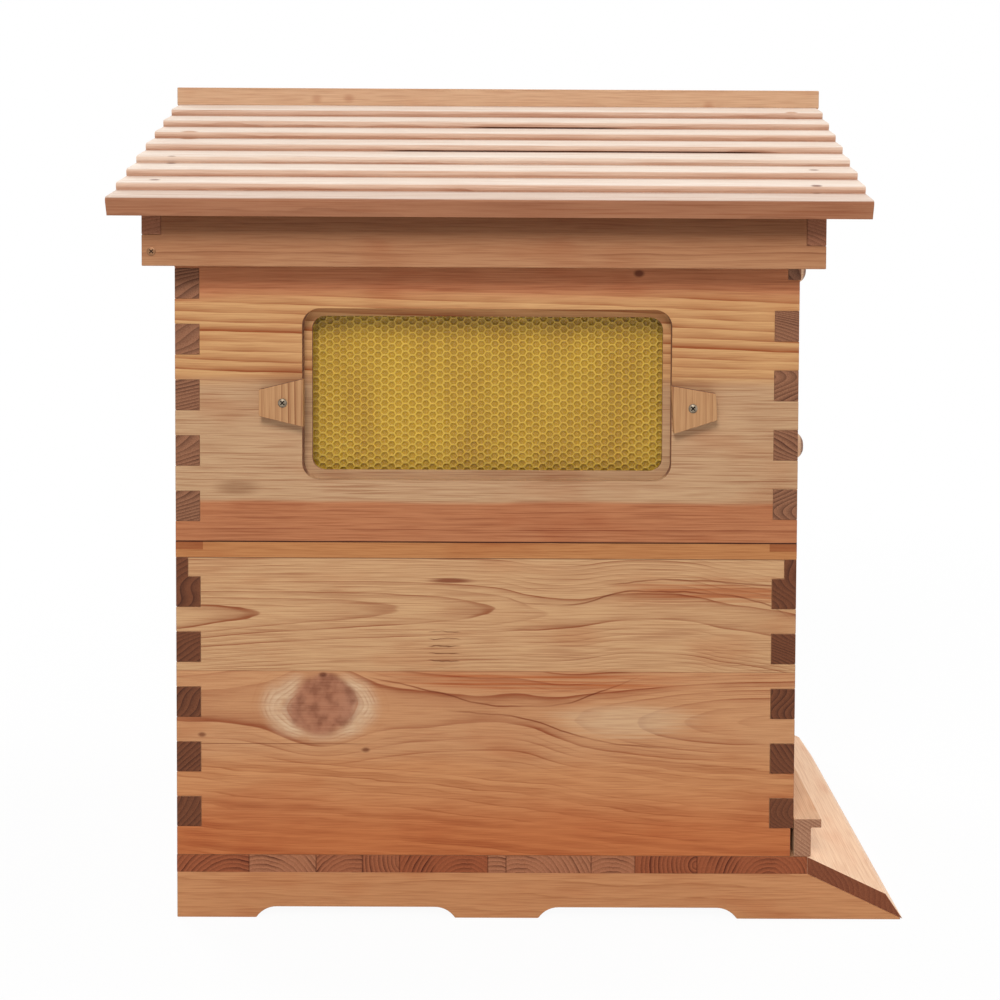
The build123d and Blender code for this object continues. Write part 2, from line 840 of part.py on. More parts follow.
# The ridge board lies on the top slat of the far slope and closes the ridge with its upper edge.
top_low = (slat_count - 1) * slat_pitch + slat_nose
taper = slat_step / slat_pitch
top_high = (slat_count + 1) * slat_pitch


def on_top_slat(u, rise):
    """A point on or above the tapered face of the top slat; rise is square to that face."""
    lean = (1 + taper**2) ** 0.5
    face_n = slat_thickness - taper * (u - (slat_count - 1) * slat_pitch)
    return on_slope(u + rise * taper / lean, face_n + rise / lean)


ridge_outline = [
    on_top_slat(top_low, 0),
    on_top_slat(top_high, 0),
    on_top_slat(top_high, ridge_board_thickness),
    on_top_slat(top_low, ridge_board_thickness),
]
ridge_board = to_ridge(along_x(ridge_outline, ridge_x0, ridge_x1))
save_roof("ridge_board", far_side(ridge_board))

cleat_y = skirt_inner_y - cleat_play
back_cleat = block(
    -skirt_inner_x,
    -skirt_inner_x + cleat_thickness,
    -cleat_y,
    cleat_y,
    cover_top,
    cover_top + cleat_height,
)
save_roof("roof_cleats", back_cleat, mirror(back_cleat, about=Plane.YZ))
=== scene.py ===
import json
import math

import bmesh
import bpy
from mathutils import Matrix, Vector


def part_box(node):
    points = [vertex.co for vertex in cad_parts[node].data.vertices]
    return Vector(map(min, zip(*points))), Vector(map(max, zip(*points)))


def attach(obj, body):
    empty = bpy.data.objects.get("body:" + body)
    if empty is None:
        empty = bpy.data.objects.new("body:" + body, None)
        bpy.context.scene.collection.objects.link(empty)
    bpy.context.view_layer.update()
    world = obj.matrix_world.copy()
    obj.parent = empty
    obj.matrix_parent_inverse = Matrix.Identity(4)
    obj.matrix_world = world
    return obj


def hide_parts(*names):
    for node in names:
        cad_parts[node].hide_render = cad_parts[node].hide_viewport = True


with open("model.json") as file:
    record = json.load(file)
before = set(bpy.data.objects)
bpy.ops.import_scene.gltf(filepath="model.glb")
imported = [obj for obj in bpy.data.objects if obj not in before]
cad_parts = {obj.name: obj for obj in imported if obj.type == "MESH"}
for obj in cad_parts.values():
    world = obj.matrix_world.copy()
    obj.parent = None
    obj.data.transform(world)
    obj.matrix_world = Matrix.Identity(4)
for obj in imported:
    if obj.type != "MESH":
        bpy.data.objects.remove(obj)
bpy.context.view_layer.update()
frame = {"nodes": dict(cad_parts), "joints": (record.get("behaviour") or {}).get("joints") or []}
nodes = frame["nodes"]

# Lengths are in millimetres, and in metres for the camera, the lamps and the floor.
MM = 0.001

# Camera
CAMERA_PLACE = (0.01569, -1.44119, 0.54120)
CAMERA_YAW = 0.003466
CAMERA_PITCH = -0.039069
CAMERA_ROLL = -0.005018
CAMERA_LENS = 54.8786
CAMERA_SENSOR = 36.0
CAMERA_SHIFT = (-0.04, -0.18)

# Lamps, each with its name, place, target, width and power, and the pale surroundings
LAMPS = (
    ("key_lamp", (-0.3, -2.6, 2.35), (0.0, -0.2, 0.35), 1.1, 60.0),
    ("top_lamp", (1.1, 0.5, 2.9), (0.05, 0.0, 0.5), 1.2, 22.0),
    ("end_lamp", (3.0, -0.3, 1.3), (0.25, 0.0, 0.3), 1.2, 22.0),
    ("back_lamp", (-2.1, 2.3, 1.9), (0.0, 0.1, 0.35), 1.3, 55.0),
)
WORLD_LIGHT = 0.24
FLOOR_SIZE = 12.0
FLOOR_COLOUR = (0.9, 0.9, 0.9, 1.0)
FLOOR_WHITENESS = 0.95
FLOOR_FADE = (0.7, 2.0)

# Comb of the frame behind the window; each loop of a cell has its share of the width and its depth
CELL_PITCH_X = 5.70
CELL_PITCH_Z = 6.19
CELL_LOOPS = ((1.0, 0.0), (0.88, 0.0), (0.81, 0.5), (0.58, 1.0), (0.48, 1.5))
CELL_RIM_LOOPS = 2
CELL_DEPTH = 1.5
CORE_GAP = 0.4
LEAF_COLUMNS = 3
LEAF_GAP = 0.08
LEAF_TOP_GAP = 2.5
COMB_BASE = 6.0
COMB_BAR = 4.0
COMB_PLAY = 0.1
FLOW_FRAMES = 7
BROOD_FRAMES = 10

# Knobs, as shares of their length and radius
KNOB_WAIST = 0.52
KNOB_WAIST_END = 0.68
KNOB_CROWN = 0.78
KNOB_FOOT = 0.06
KNOB_FOOT_END = 0.12
KNOB_TIP = 0.02
KNOB_STEPS = 40
KNOB_SIDES = 48

# Screws; the cross in a head has its depth, reach and slopes as shares of the head
LATCH_SHANK = 1.95
SHANK_SIDES = 32
LATCH_HEAD = 3.7
HEAD_RINGS = 14
HEAD_SIDES = 64
HEAD_FALL = 0.75
CROSS_WIDTH = 0.48
CROSS_REACH = 0.62
CROSS_DEPTH = 0.85
CROSS_SLOPE = 0.4
SKIRT_SCREW_RADIUS = 3.6
SKIRT_SCREW_PROUD = 0.5
SKIRT_SCREW_IN = 7.8
SKIRT_SCREW_UP = 11.5

# Board edges
EDGE_ROUND = 0.7
EDGE_ANGLE = math.radians(40)
FLAT_ANGLE = math.radians(0.5)
SMOOTH_ANGLE = math.radians(30)
WELD_REACH = 0.01

# Roof slats; open joints, whose shadow is painted on the slats, have the number of the slat above them and
# their two ends
ROOF_SLOPE = math.radians(22.2)
SLOPE_RUN = math.cos(ROOF_SLOPE)
SLOPE_RISE = math.sin(ROOF_SLOPE)
EAVE_REACH = 250.0
EAVE_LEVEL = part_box("roof_slats_near")[0].z / MM
SLAT_COUNT = 8
SLAT_PITCH = EAVE_REACH / SLOPE_RUN / SLAT_COUNT
SLAT_THICKNESS = 15.2
SLAT_TAPER = 6.0
SLAT_LAP = (7.0, 5.0)
SLAT_NOSE = 4.6
NOSE_STEPS = 7
NOSE_FOOT = SLAT_THICKNESS - SLAT_TAPER
NOSE_MARGIN = 1.5
OPEN_JOINTS = ((4, -130.0, 230.0), (6, -60.0, 110.0))
DARK_KNOT = (120, 74, 56)
PALE_KNOT = (204, 160, 130)
SLAT_KNOTS = (
    (-290.7, -209.6, 4.0, DARK_KNOT), (-288.9, -162.0, 4.0, DARK_KNOT), (-288.0, -99.0, 7.0, PALE_KNOT),
    (245.4, -180.1, 4.0, DARK_KNOT), (240.3, -220.7, 4.0, DARK_KNOT), (250.8, -35.0, 5.0, PALE_KNOT),
)

# Places on the hive
wall_low, wall_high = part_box("brood_wall_near")
rim_low, rim_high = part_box("excluder_rim")
NEAR_FACE = wall_low.y / MM
HIVE_MIDDLE = (wall_low.x + wall_high.x) / 2 / MM
RIM_REACH = (rim_high.x - rim_low.x) / 2 / MM
RIM_HALF = (rim_low.z + rim_high.z) / 2 / MM
FLOOR_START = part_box("floor_boards")[0].x / MM
FLOOR_MEETS = (-194.0, -139.0, -101.0, -70.5, 2.0, 17.0, 87.0, 123.0, 174.0)
FLOOR_JOINTS = [HIVE_MIDDLE + meet for meet in FLOOR_MEETS]
KNOT_PLACE = (-157.5, 176.0, 26.0)

# Wood: pale and dark tones as a screen shows them, of long grain and of end grain
WOOD_SHEEN = 0.18
FIBRE_RELIEF = 0.12
PLAIN_ENDS = ((150, 108, 84), (92, 58, 44))
WALL_TONES = ((200, 152, 112), (156, 98, 64))
BROOD_ENDS = ((118, 70, 45), (70, 37, 23))
SUPER_ENDS = ((152, 105, 77), (83, 48, 34))
BAR_TONES = ((226, 184, 146), (190, 142, 104))
BAR_ENDS = ((182, 136, 106), (134, 90, 66))
KNOB_TONES = ((228, 190, 156), (204, 158, 120))
RIM_TONES = ((188, 128, 78), (150, 86, 46))
RIM_ENDS = ((188, 128, 78), (166, 104, 60))
RAIL_TONES = ((200, 142, 96), (164, 100, 60))
FLOOR_TONES = ((196, 148, 110), (156, 98, 64))
FLOOR_ENDS = ((174, 115, 82), (90, 45, 28))
LANDING_TONES = ((250, 212, 176), (226, 178, 138))
LANDING_ENDS = ((136, 78, 50), (116, 62, 39))
SKIRT_TONES = ((180, 130, 92), (140, 88, 58))
SKIRT_ENDS = ((158, 106, 78), (122, 76, 54))
RIDGE_TONES = ((216, 174, 138), (186, 138, 102))
LATCH_TONES = ((192, 146, 102), (132, 78, 44))
FRAME_TONES = ((222, 184, 142), (192, 146, 104))


def srgb(red, green, blue):
    """A colour as a screen shows it, 0 to 255, turned into Blender's own scale."""
    scaled = []
    for value in (red, green, blue):
        part = value / 255
        scaled.append(part / 12.92 if part <= 0.04045 else ((part + 0.055) / 1.055) ** 2.4)
    return (*scaled, 1.0)


# Numbers that vary over a surface

def feed(tree, socket, value):
    """Give a shader socket a plain number or colour, or link it to a field."""
    if isinstance(value, Field):
        tree.links.new(value.socket, socket)
    else:
        socket.default_value = value


class Field:
    """A number or colour that varies over a surface, worked out by shader nodes."""

    def __init__(self, tree, socket):
        self.tree = tree
        self.socket = socket

    def calc(self, operation, *others):
        node = self.tree.nodes.new("ShaderNodeMath")
        node.operation = operation
        for place, value in enumerate((self,) + others):
            feed(self.tree, node.inputs[place], value)
        return Field(self.tree, node.outputs[0])

    def __add__(self, other):
        return self.calc("ADD", other)

    def __sub__(self, other):
        return self.calc("SUBTRACT", other)

    def __mul__(self, other):
        return self.calc("MULTIPLY", other)

    def __truediv__(self, other):
        return self.calc("DIVIDE", other)

    def root_of_squares(self, other):
        return (self * self + other * other).calc("SQRT")

    def size(self):
        return self.calc("ABSOLUTE")

    def whole(self):
        return self.calc("FLOOR")

    def rest(self):
        return self.calc("FRACT")

    def above(self, level):
        return self.calc("GREATER_THAN", level)

    def rise(self, low, high):
        """0 below low, 1 above high and smooth between; falls where low is the larger."""
        node = self.tree.nodes.new("ShaderNodeMapRange")
        node.interpolation_type = "SMOOTHSTEP"
        feed(self.tree, node.inputs["Value"], self)
        node.inputs["From Min"].default_value = low
        node.inputs["From Max"].default_value = high
        return Field(self.tree, node.outputs["Result"])

    def random(self):
        """A random number from 0 to 1 that belongs to this value."""
        node = self.tree.nodes.new("ShaderNodeTexWhiteNoise")
        node.noise_dimensions = "1D"
        feed(self.tree, node.inputs["W"], self)
        return Field(self.tree, node.outputs["Value"])

    def curve(self, points):
        """A smooth curve through a few given points of place and height."""
        places = [place for place, height in points]
        heights = [height for place, height in points]
        low, high = min(heights), max(heights)
        span = max(high - low, 1e-6)
        node = self.tree.nodes.new("ShaderNodeFloatCurve")
        line = node.mapping.curves[0]
        while len(line.points) < len(points):
            line.points.new(0.5, 0.5)
        for point, (place, height) in zip(line.points, points):
            share = (place - places[0]) / (places[-1] - places[0])
            point.location = (share, (height - low) / span)
        node.mapping.update()
        share = (self - places[0]) / (places[-1] - places[0])
        feed(self.tree, node.inputs["Value"], share)
        return Field(self.tree, node.outputs["Value"]) * span + low


def noise(tree, parts, detail=2.0):
    """Smooth noise, 0 to 1, read at three fields or numbers."""
    point = tree.nodes.new("ShaderNodeCombineXYZ")
    for place, part in enumerate(parts):
        feed(tree, point.inputs[place], part)
    node = tree.nodes.new("ShaderNodeTexNoise")
    node.inputs["Scale"].default_value = 1.0
    node.inputs["Detail"].default_value = detail
    tree.links.new(point.outputs[0], node.inputs["Vector"])
    return Field(tree, node.outputs["Fac"])


def mix(tree, share, first, second, blend="MIX"):
    """A colour between two colours."""
    node = tree.nodes.new("ShaderNodeMix")
    node.data_type = "RGBA"
    node.blend_type = blend
    feed(tree, node.inputs[0], share)
    feed(tree, node.inputs[6], first)
    feed(tree, node.inputs[7], second)
    return Field(tree, node.outputs[2])


def shade(tree, share, colour, tone):
    """A colour multiplied by a tone, as far as share says."""
    return mix(tree, share, colour, srgb(*tone), "MULTIPLY")


def surface(tree, output):
    """The three parts of the surface's place in metres, or of its direction."""
    where = tree.nodes.new("ShaderNodeTexCoord")
    split = tree.nodes.new("ShaderNodeSeparateXYZ")
    tree.links.new(where.outputs[output], split.inputs[0])
    return [Field(tree, part) for part in split.outputs]


def new_material(name):
    """An empty material, its tree, its main shader and the surface point in millimetres."""
    material = bpy.data.materials.new(name)
    material.use_nodes = True
    tree = material.node_tree
    point = [part * 1000 for part in surface(tree, "Object")]
    return material, tree, tree.nodes["Principled BSDF"], point


def end_on(tree, grain):
    """1 where the surface cuts across the grain, 0 along it."""
    return surface(tree, "Normal")["XYZ".index(grain)].size().rise(0.55, 0.85)


def spot(first, second, place, squash):
    """The distance from a place on a face, as if the face were squashed along its first direction."""
    return ((first - place[0]) * squash).root_of_squares(second - place[1])


def add_bump(tree, shader, height, distance):
    """Relief from a height field; distance is in millimetres."""
    node = tree.nodes.new("ShaderNodeBump")
    node.inputs["Strength"].default_value = 1.0
    node.inputs["Distance"].default_value = distance * MM
    feed(tree, node.inputs["Height"], height)
    tree.links.new(node.outputs[0], shader.inputs["Normal"])


# Wood

class Board:
    """How one board was sawn: where its pith lies, how wide its rings are and what colours it has.

    Along the grain, depth is the distance from the board's face to the pith, and centre is the
    pith's place across the board. Each is a number, or a short list of points along the board.
    Sharp rings end in a thin dark line, and fine ones have narrow lines between. Even is how alike
    the rings are, and fall is where in a ring its late wood ends.
    The grain can bend around a knot, given as its place along, its place across and its radius.
    """

    def __init__(self, pale, dark, top=None, depth=60.0, centre=0.0, spacing=6.0, strength=0.8, wave=3.0,
                 fade=0.0, lines=0.0, sharp=0.6, fall=0.94, fine=0, even=0.3, knot=None, seed=0.0):
        self.pale = srgb(*pale)
        self.dark = srgb(*dark)
        self.top = top
        self.depth = depth
        self.centre = centre
        self.spacing = spacing
        self.strength = strength
        self.wave = wave
        self.fade = fade
        self.lines = lines
        self.sharp = sharp
        self.fall = fall
        self.fine = fine
        self.even = even
        self.knot = knot
        self.seed = seed


def along_board(along, setting):
    """A board's setting as a field or number."""
    return along.curve(setting) if isinstance(setting, (list, tuple)) else setting


def around_knot(along, across, knot):
    """The place across the board that the grain would have without a knot in its way."""
    place, level, radius = knot
    beside = (along - place) / 1.12
    over = across - level
    reach = (beside * beside + over * over).calc("MAXIMUM", radius * radius)
    return over - over * (radius * radius) / reach + level


def rings(tree, along, inward, across, board):
    """How much late wood there is at a point: rising through each ring and falling sharply after it."""
    if board.knot:
        across = around_knot(along, across, board.knot)
    drift = noise(tree, (along * 0.006 + board.seed, inward * 0.02, across * 0.02 + board.seed), 1.0)
    ripple = noise(tree, (along * 0.02 + board.seed, inward * 0.05, across * 0.12 + board.seed), 2.0)
    depth = inward + along_board(along, board.depth)
    offset = across - along_board(along, board.centre)
    radius = depth.root_of_squares(offset) + (drift - 0.5) * (board.wave * 2) + (ripple - 0.5) * board.wave
    phase = radius / board.spacing
    part = phase.rest()
    broad = part.rise(0.05, 0.95) * part.rise(1.0, board.fall)
    thin = part.rise(0.74, 0.93) * part.rise(1.0, 0.96)
    lot = (phase.whole() + board.seed).random()
    worn = noise(tree, (along * 0.011 + board.seed, inward * 0.02, across * 0.05 + board.seed * 2), 1.0)
    uneven = 1 - board.even
    weight = (lot * lot * uneven + board.even) * (worn.rise(0.32, 0.62) * uneven + board.even)
    late = (broad * (1 - board.sharp) + thin * board.sharp) * weight
    if board.fine:
        small = (phase * board.fine).rest()
        narrow = small.rise(0.6, 0.9) * small.rise(1.0, 0.93)
        narrow = narrow * offset.size().rise(8.0, 30.0) * worn.rise(0.3, 0.6)
        late = late + narrow * (phase * board.fine).whole().random() * 0.55
    return late * board.strength


def plank(tree, along, inward, across, board):
    """The colour of one board's long grain."""
    late = rings(tree, along, inward, across, board)
    colour = mix(tree, late, board.pale, board.dark)
    if board.lines:
        thread = noise(tree, (along * 0.012 + board.seed, inward * 0.3, across * 0.75 + board.seed), 1.0)
        colour = mix(tree, thread.rise(0.54, 0.66) * board.lines, colour, board.dark)
    return colour


def by_grain(point, grain, face=0.0):
    """A point's place along the grain, inward from a face at the given level, and across."""
    along, inward, across = {"X": (0, 1, 2), "Y": (1, 0, 2), "Z": (2, 1, 0)}[grain]
    return point[along], point[inward] - face, point[across]


def coat(tree, shader, colour, fibre, roughness):
    """Give a wood its colour, and gloss and relief that follow its fibres."""
    feed(tree, shader.inputs["Base Color"], colour)
    feed(tree, shader.inputs["Roughness"], fibre * -0.2 + roughness)
    shader.inputs["Specular IOR Level"].default_value = WOOD_SHEEN
    add_bump(tree, shader, fibre, FIBRE_RELIEF)


def wood(name, grain, boards, face=0.0, ends=PLAIN_ENDS, marks=None):
    """Solid wood: boards lie one above the other, from the lowest to the highest, across the grain."""
    material, tree, shader, point = new_material(name)
    along, inward, across = by_grain(point, grain, face)
    colour = plank(tree, along, inward, across, boards[0])
    seam = None
    for lower, upper in zip(boards[:-1], boards[1:]):
        other = plank(tree, along, inward, across, upper)
        level = across - lower.top
        if lower.fade:
            waver = (noise(tree, (along * 0.008 + upper.seed, 0.0, across * 0.03), 1.0) - 0.5) * lower.fade
            share = (level + waver).rise(-lower.fade / 2, lower.fade / 2)
        else:
            share = level.above(0.0)
            line = level.size().rise(0.55, 0.15)
            seam = line if seam is None else seam + line
        colour = mix(tree, share, colour, other)
    if seam is not None:
        colour = shade(tree, seam * 0.35, colour, (130, 76, 48))
    if marks:
        colour = marks(tree, colour, point)
    finish_wood(tree, shader, grain, point, colour, boards[0].seed, ends)
    return material


def finish_wood(tree, shader, grain, point, colour, seed, ends):
    """Fibres, blotches and end grain over a wood colour."""
    along, inward, across = by_grain(point, grain)
    fibre = noise(tree, (along * 0.03 + seed, inward * 1.1, across * 1.1), 3.0)
    blotch = noise(tree, (along * 0.012 + seed, inward * 0.03 + seed, across * 0.03), 2.0)
    colour = shade(tree, fibre.rise(0.62, 0.30) * 0.30, colour, (190, 140, 110))
    colour = shade(tree, blotch.rise(0.50, 0.72) * 0.30, colour, (222, 172, 142))
    end = Board(*ends, depth=26.0, centre=14.0, spacing=4.2, strength=1.1, wave=1.2, sharp=0.3, even=0.7,
                seed=seed)
    turn = noise(tree, (along * 0.005, seed, across * 0.014), 1.0)
    end_late = rings(tree, along, inward + turn * 90.0, across + turn * 160.0, end)
    speck = noise(tree, (along * 1.5, inward * 1.5 + seed, across * 1.5), 2.0)
    end_colour = mix(tree, end_late, end.pale, end.dark)
    end_colour = shade(tree, speck.rise(0.4, 0.65) * 0.4, end_colour, (170, 120, 96))
    coat(tree, shader, mix(tree, end_on(tree, grain), colour, end_colour), fibre, 0.62)


def plain_wood(name, grain, tones, seed, ends=PLAIN_ENDS, marks=None):
    """One board of ordinary straight grain."""
    board = Board(*tones, depth=35.0 + 9.0 * (seed % 5), centre=-60.0 + 37.0 * (seed % 7), spacing=5.5,
                  strength=0.8, wave=4.0, seed=seed)
    return wood(name, grain, [board], ends=ends, marks=marks)


def dress(material, *names):
    """Give CAD nodes a material."""
    for name in names:
        node = nodes[name]
        node.data.materials.clear()
        node.data.materials.append(material)


def soften(*names):
    """Round the sharp edges of single-solid CAD nodes."""
    for name in names:
        node = nodes[name]
        weld = node.modifiers.new("weld", "WELD")
        weld.merge_threshold = WELD_REACH * MM
        merge = node.modifiers.new("merge", "DECIMATE")
        merge.decimate_type = "DISSOLVE"
        merge.angle_limit = FLAT_ANGLE
        bevel = node.modifiers.new("soft_edge", "BEVEL")
        bevel.width = EDGE_ROUND * MM
        bevel.segments = 2
        bevel.limit_method = "ANGLE"
        bevel.angle_limit = EDGE_ANGLE
        bevel.harden_normals = True


# Near wall of the brood box: three boards, with a knot in the middle one

def trace(tree, colour, x, z, path, width, tone):
    """A thin line of colour along a path of places and levels, faint at both ends and here and there."""
    waver = noise(tree, (x * 0.03, 0.0, path[0][1]), 2.0)
    worn = noise(tree, (x * 0.02, 5.0, path[0][1]), 1.0)
    level = z - along_board(x, path) + (waver - 0.5) * 5.0
    ends = (x - path[0][0]).rise(0.0, 30.0) * (x - path[-1][0]).rise(0.0, -30.0)
    share = level.size().rise(width, width * 0.2) * ends * (worn.rise(0.3, 0.6) * 0.7 + 0.3)
    return shade(tree, share * 0.8, colour, tone)


def brood_knot(tree, colour, x, y, z):
    """A mottled knot with whitish crescents beside it and grain that closes around it."""
    wobble = noise(tree, (x * 0.03, y * 0.03, z * 0.03), 1.0)
    ruffle = noise(tree, (x * 0.11, y * 0.1, z * 0.11), 3.0)
    beside = (x - KNOT_PLACE[0]) / 1.12
    reach = beside.root_of_squares(z - KNOT_PLACE[1]) + (wobble - 0.5) * 18.0 + (ruffle - 0.5) * 3.0
    eye = (beside * 0.72).root_of_squares(z - KNOT_PLACE[1]) + (wobble - 0.5) * 12.0
    inside = (z - 143.5).rise(0.0, 4.0) * (z - 205.0).rise(0.0, -2.5)
    crescent = beside.size().rise(8.0, 24.0) * 0.85 + (z - 162.0).rise(0.0, -14.0) * 0.5
    pale_side = eye.rise(35.0, 23.0) * inside * crescent * (ruffle.rise(0.25, 0.55) * 0.5 + 0.5)
    colour = mix(tree, pale_side, colour, srgb(216, 186, 152))
    arcs = (eye / 2.7 + ruffle * 0.5).rest()
    line = arcs.rise(0.3, 0.85) * arcs.rise(1.0, 0.85) * (eye / 2.7 + ruffle * 0.5).whole().random()
    faint = ruffle.rise(0.35, 0.6) * eye.rise(40.0, 26.0) * inside * crescent
    colour = shade(tree, line * faint * 0.7, colour, (208, 156, 118))
    heart = mix(tree, ruffle.rise(0.3, 0.7), srgb(136, 84, 62), srgb(172, 116, 88))
    return mix(tree, reach.rise(29.0, 21.0) * inside * 0.9, colour, heart)


def brood_marks(tree, colour, point):
    """A knot, specks, a smear, planing marks, a few strong grain lines, a reddish lower part and a painted
    shadow line along the top edge.
    """
    x, y, z = point
    strands = noise(tree, (x * 0.008, y * 0.1, z * 0.55), 2.0)
    colour = shade(tree, z.rise(120.0, 66.0) * 0.8, colour, (240, 196, 166))
    blush = (z - 197.0).size().rise(13.0, 2.0) * (x - 15.0).size().rise(150.0, 60.0)
    colour = shade(tree, blush * (strands.rise(0.35, 0.65) * 0.8 + 0.1), colour, (226, 168, 130))
    russet = (z - 271.0).size().rise(15.0, 3.0) * (x - 60.0).rise(0.0, 70.0)
    colour = shade(tree, russet * strands.rise(0.38, 0.66) * 0.8, colour, (224, 168, 138))
    milky = spot(x, z, (92.0, 165.0), 0.28) + (strands - 0.5) * 16.0
    colour = mix(tree, milky.rise(20.0, 6.0) * 0.6, colour, srgb(212, 180, 142))
    colour = brood_knot(tree, colour, x, y, z)
    for line in ([(-128, 203), (-60, 187), (-11, 177), (30, 177), (66, 187), (108, 204)],
                 [(-11, 270), (38, 260), (104, 272), (231, 243)],
                 [(60, 268), (130, 281), (180, 279), (232, 272)],
                 [(-60, 172), (0, 168), (60, 150), (130, 141)]):
        colour = trace(tree, colour, x, z, line, 1.0, (166, 106, 76))
    left_seam = (z - 144.7).size().rise(0.6, 0.2) * (x + 110.0).rise(0.0, -30.0)
    colour = shade(tree, left_seam * 0.6, colour, (146, 90, 60))
    for place in ((-156.0, 202.0), (-121.0, 139.8), (-255.0, 152.0)):
        speck = spot(x, z, place, 0.6)
        colour = shade(tree, speck.rise(2.8, 0.8) * 0.7, colour, (130, 76, 48))
    smear = spot(x, z, (-52.0, 280.0), 0.16) + (strands - 0.5) * 5.0
    colour = shade(tree, smear.rise(3.4, 0.6) * 0.8, colour, (158, 88, 64))
    chatter = (x + 57.0).size().rise(15.0, 8.0) * (z - 224.0).size().rise(18.0, 12.0)
    cuts = (z / 6.0 + noise(tree, (x * 0.08, 0.0, z * 0.2), 1.0) * 0.6).rest()
    colour = shade(tree, chatter * cuts.rise(0.8, 0.93) * 0.75, colour, (126, 82, 58))
    # Painted shadow: a dark line along the top edge, where the box meets the excluder.
    gap_shadow = (z - 297.2).rise(0.0, 0.7)
    return shade(tree, gap_shadow * 0.6, colour, (110, 70, 50))


knot_depths = [(-275, 31), (-90, 30), (-11, 31), (66, 24), (144, 12), (185, 6), (240, 2)]
low_board = Board((202, 142, 94), (156, 84, 43), top=132.0, fade=26.0, depth=knot_depths,
                  centre=[(-275, 190), (-100, 177), (100, 160), (240, 150)],
                  spacing=9.0, strength=1.0, wave=6.0, sharp=0.1, fall=0.6, fine=2, seed=3.0)
knot_board = Board((200, 147, 103), (150, 82, 48), top=205.0, knot=KNOT_PLACE, depth=knot_depths,
                   centre=[(-275, 175), (-158, 176), (-11, 175), (66, 164), (240, 165)],
                   spacing=6.6, strength=1.0, wave=1.8, sharp=0.5, fine=2, seed=11.0)
tongue_board = Board((204, 161, 117), (148, 86, 52),
                     depth=[(-275, 25.6), (-208, 27.5), (-100, 29.6), (-19, 32.5), (32, 35), (104, 35.8),
                            (240, 35.6)],
                     centre=[(-275, 250), (-19, 256), (32, 253), (104, 259), (170, 252), (240, 240)],
                     spacing=2.5, strength=1.25, wave=0.9, lines=0.35, sharp=0.5, even=0.3, seed=5.0)
brood_boards = [low_board, knot_board, tongue_board]
dress(wood("brood_near_wood", "X", brood_boards, face=NEAR_FACE, marks=brood_marks), "brood_wall_near")


# Near wall of the super: a reddish lower board and one striped board

def super_marks(tree, colour, point):
    """A grey smudge beside the window, a small knot at the top and a painted shadow line along the bottom
    edge, over the excluder.
    """
    x, y, z = point
    reach = spot(x, z, (-225.0, 355.5), 0.35)
    colour = shade(tree, reach.rise(9.0, 2.0) * 0.5, colour, (176, 146, 128))
    speck = spot(x, z, (100.0, 531.0), 0.7)
    colour = shade(tree, speck.rise(4.0, 1.5) * 0.8, colour, (110, 62, 44))
    # Painted shadow: a dark line along the bottom edge, in the gap over the excluder.
    gap_shadow = (z - 312.3).rise(0.0, -0.8)
    return shade(tree, gap_shadow, colour, (84, 50, 36))


red_board = Board((184, 120, 80), (142, 78, 48), top=344.0, fade=5.0, depth=30.0, centre=250.0, spacing=4.6,
                  strength=1.2, wave=1.0, lines=0.5, seed=21.0)
fine_zone = Board((195, 157, 119), (156, 107, 73), top=441.0, fade=16.0, depth=40.0, centre=180.0,
                  spacing=5.2, strength=0.7, wave=2.0, lines=0.55, seed=23.0)
stripe_zone = Board((208, 160, 108), (152, 82, 42), top=512.0, depth=30.0, centre=[(-275, 668), (240, 652)],
                    spacing=7.8, strength=1.5, wave=2.0, fade=14.0, sharp=0.25, even=0.45, seed=27.0)
top_zone = Board((192, 124, 84), (154, 88, 54), depth=30.0, centre=700.0, spacing=4.4, strength=0.9, wave=1.5,
                 lines=0.4, seed=29.0)
super_boards = [red_board, fine_zone, stripe_zone, top_zone]
super_wood = wood("super_near_wood", "X", super_boards, face=NEAR_FACE, marks=super_marks)
dress(super_wood, "super_wall_near")


# Other walls, base, cover and roof

def excluder_ends(tree, colour, point):
    """The halved corners of the excluder's rim: end grain of the cross rails shows in the upper half."""
    x, y, z = point
    corner = (x - HIVE_MIDDLE).size().rise(RIM_REACH - 22.5, RIM_REACH - 22.0) * (z - RIM_HALF).above(0.0)
    return shade(tree, corner * 0.8, colour, (206, 170, 160))


def floor_boards_wood():
    """Short boards across the hive, whose end grain differs from board to board."""
    material, tree, shader, (x, y, z) = new_material("floor_wood")
    board = x * 0.0
    start = board + FLOOR_START
    joint_line = board
    previous = FLOOR_START
    for joint in FLOOR_JOINTS:
        beyond = (x - joint).above(0.0)
        board = board + beyond
        start = start + beyond * (joint - previous)
        joint_line = joint_line + (x - joint).size().rise(0.9, 0.3)
        previous = joint
    lot = (board + 0.5).random()
    spread = (board + 7.5).random()
    grain = Board(*FLOOR_TONES, depth=30.0, spacing=5.5, seed=67.0)
    colour = plank(tree, y, z + lot * 40.0, x + lot * 300.0, grain)
    ends = Board(*FLOOR_ENDS, depth=-52.0, spacing=3.6, strength=1.15, wave=2.6, sharp=0.2, even=0.45,
                 seed=5.0)
    late = rings(tree, y, z + lot * 44.0, x - start - spread * 60.0, ends)
    end_colour = mix(tree, late, ends.pale, ends.dark)
    end_colour = shade(tree, spread.rise(0.1, 0.9) * 0.9, end_colour, (226, 186, 160))
    end_colour = shade(tree, joint_line * 0.5, end_colour, (120, 76, 56))
    colour = mix(tree, end_on(tree, "Y"), colour, end_colour)
    fibre = noise(tree, (x * 0.9, y * 0.03, z * 0.9), 3.0)
    coat(tree, shader, shade(tree, fibre.rise(0.6, 0.3) * 0.3, colour, (190, 150, 130)), fibre, 0.66)
    return material


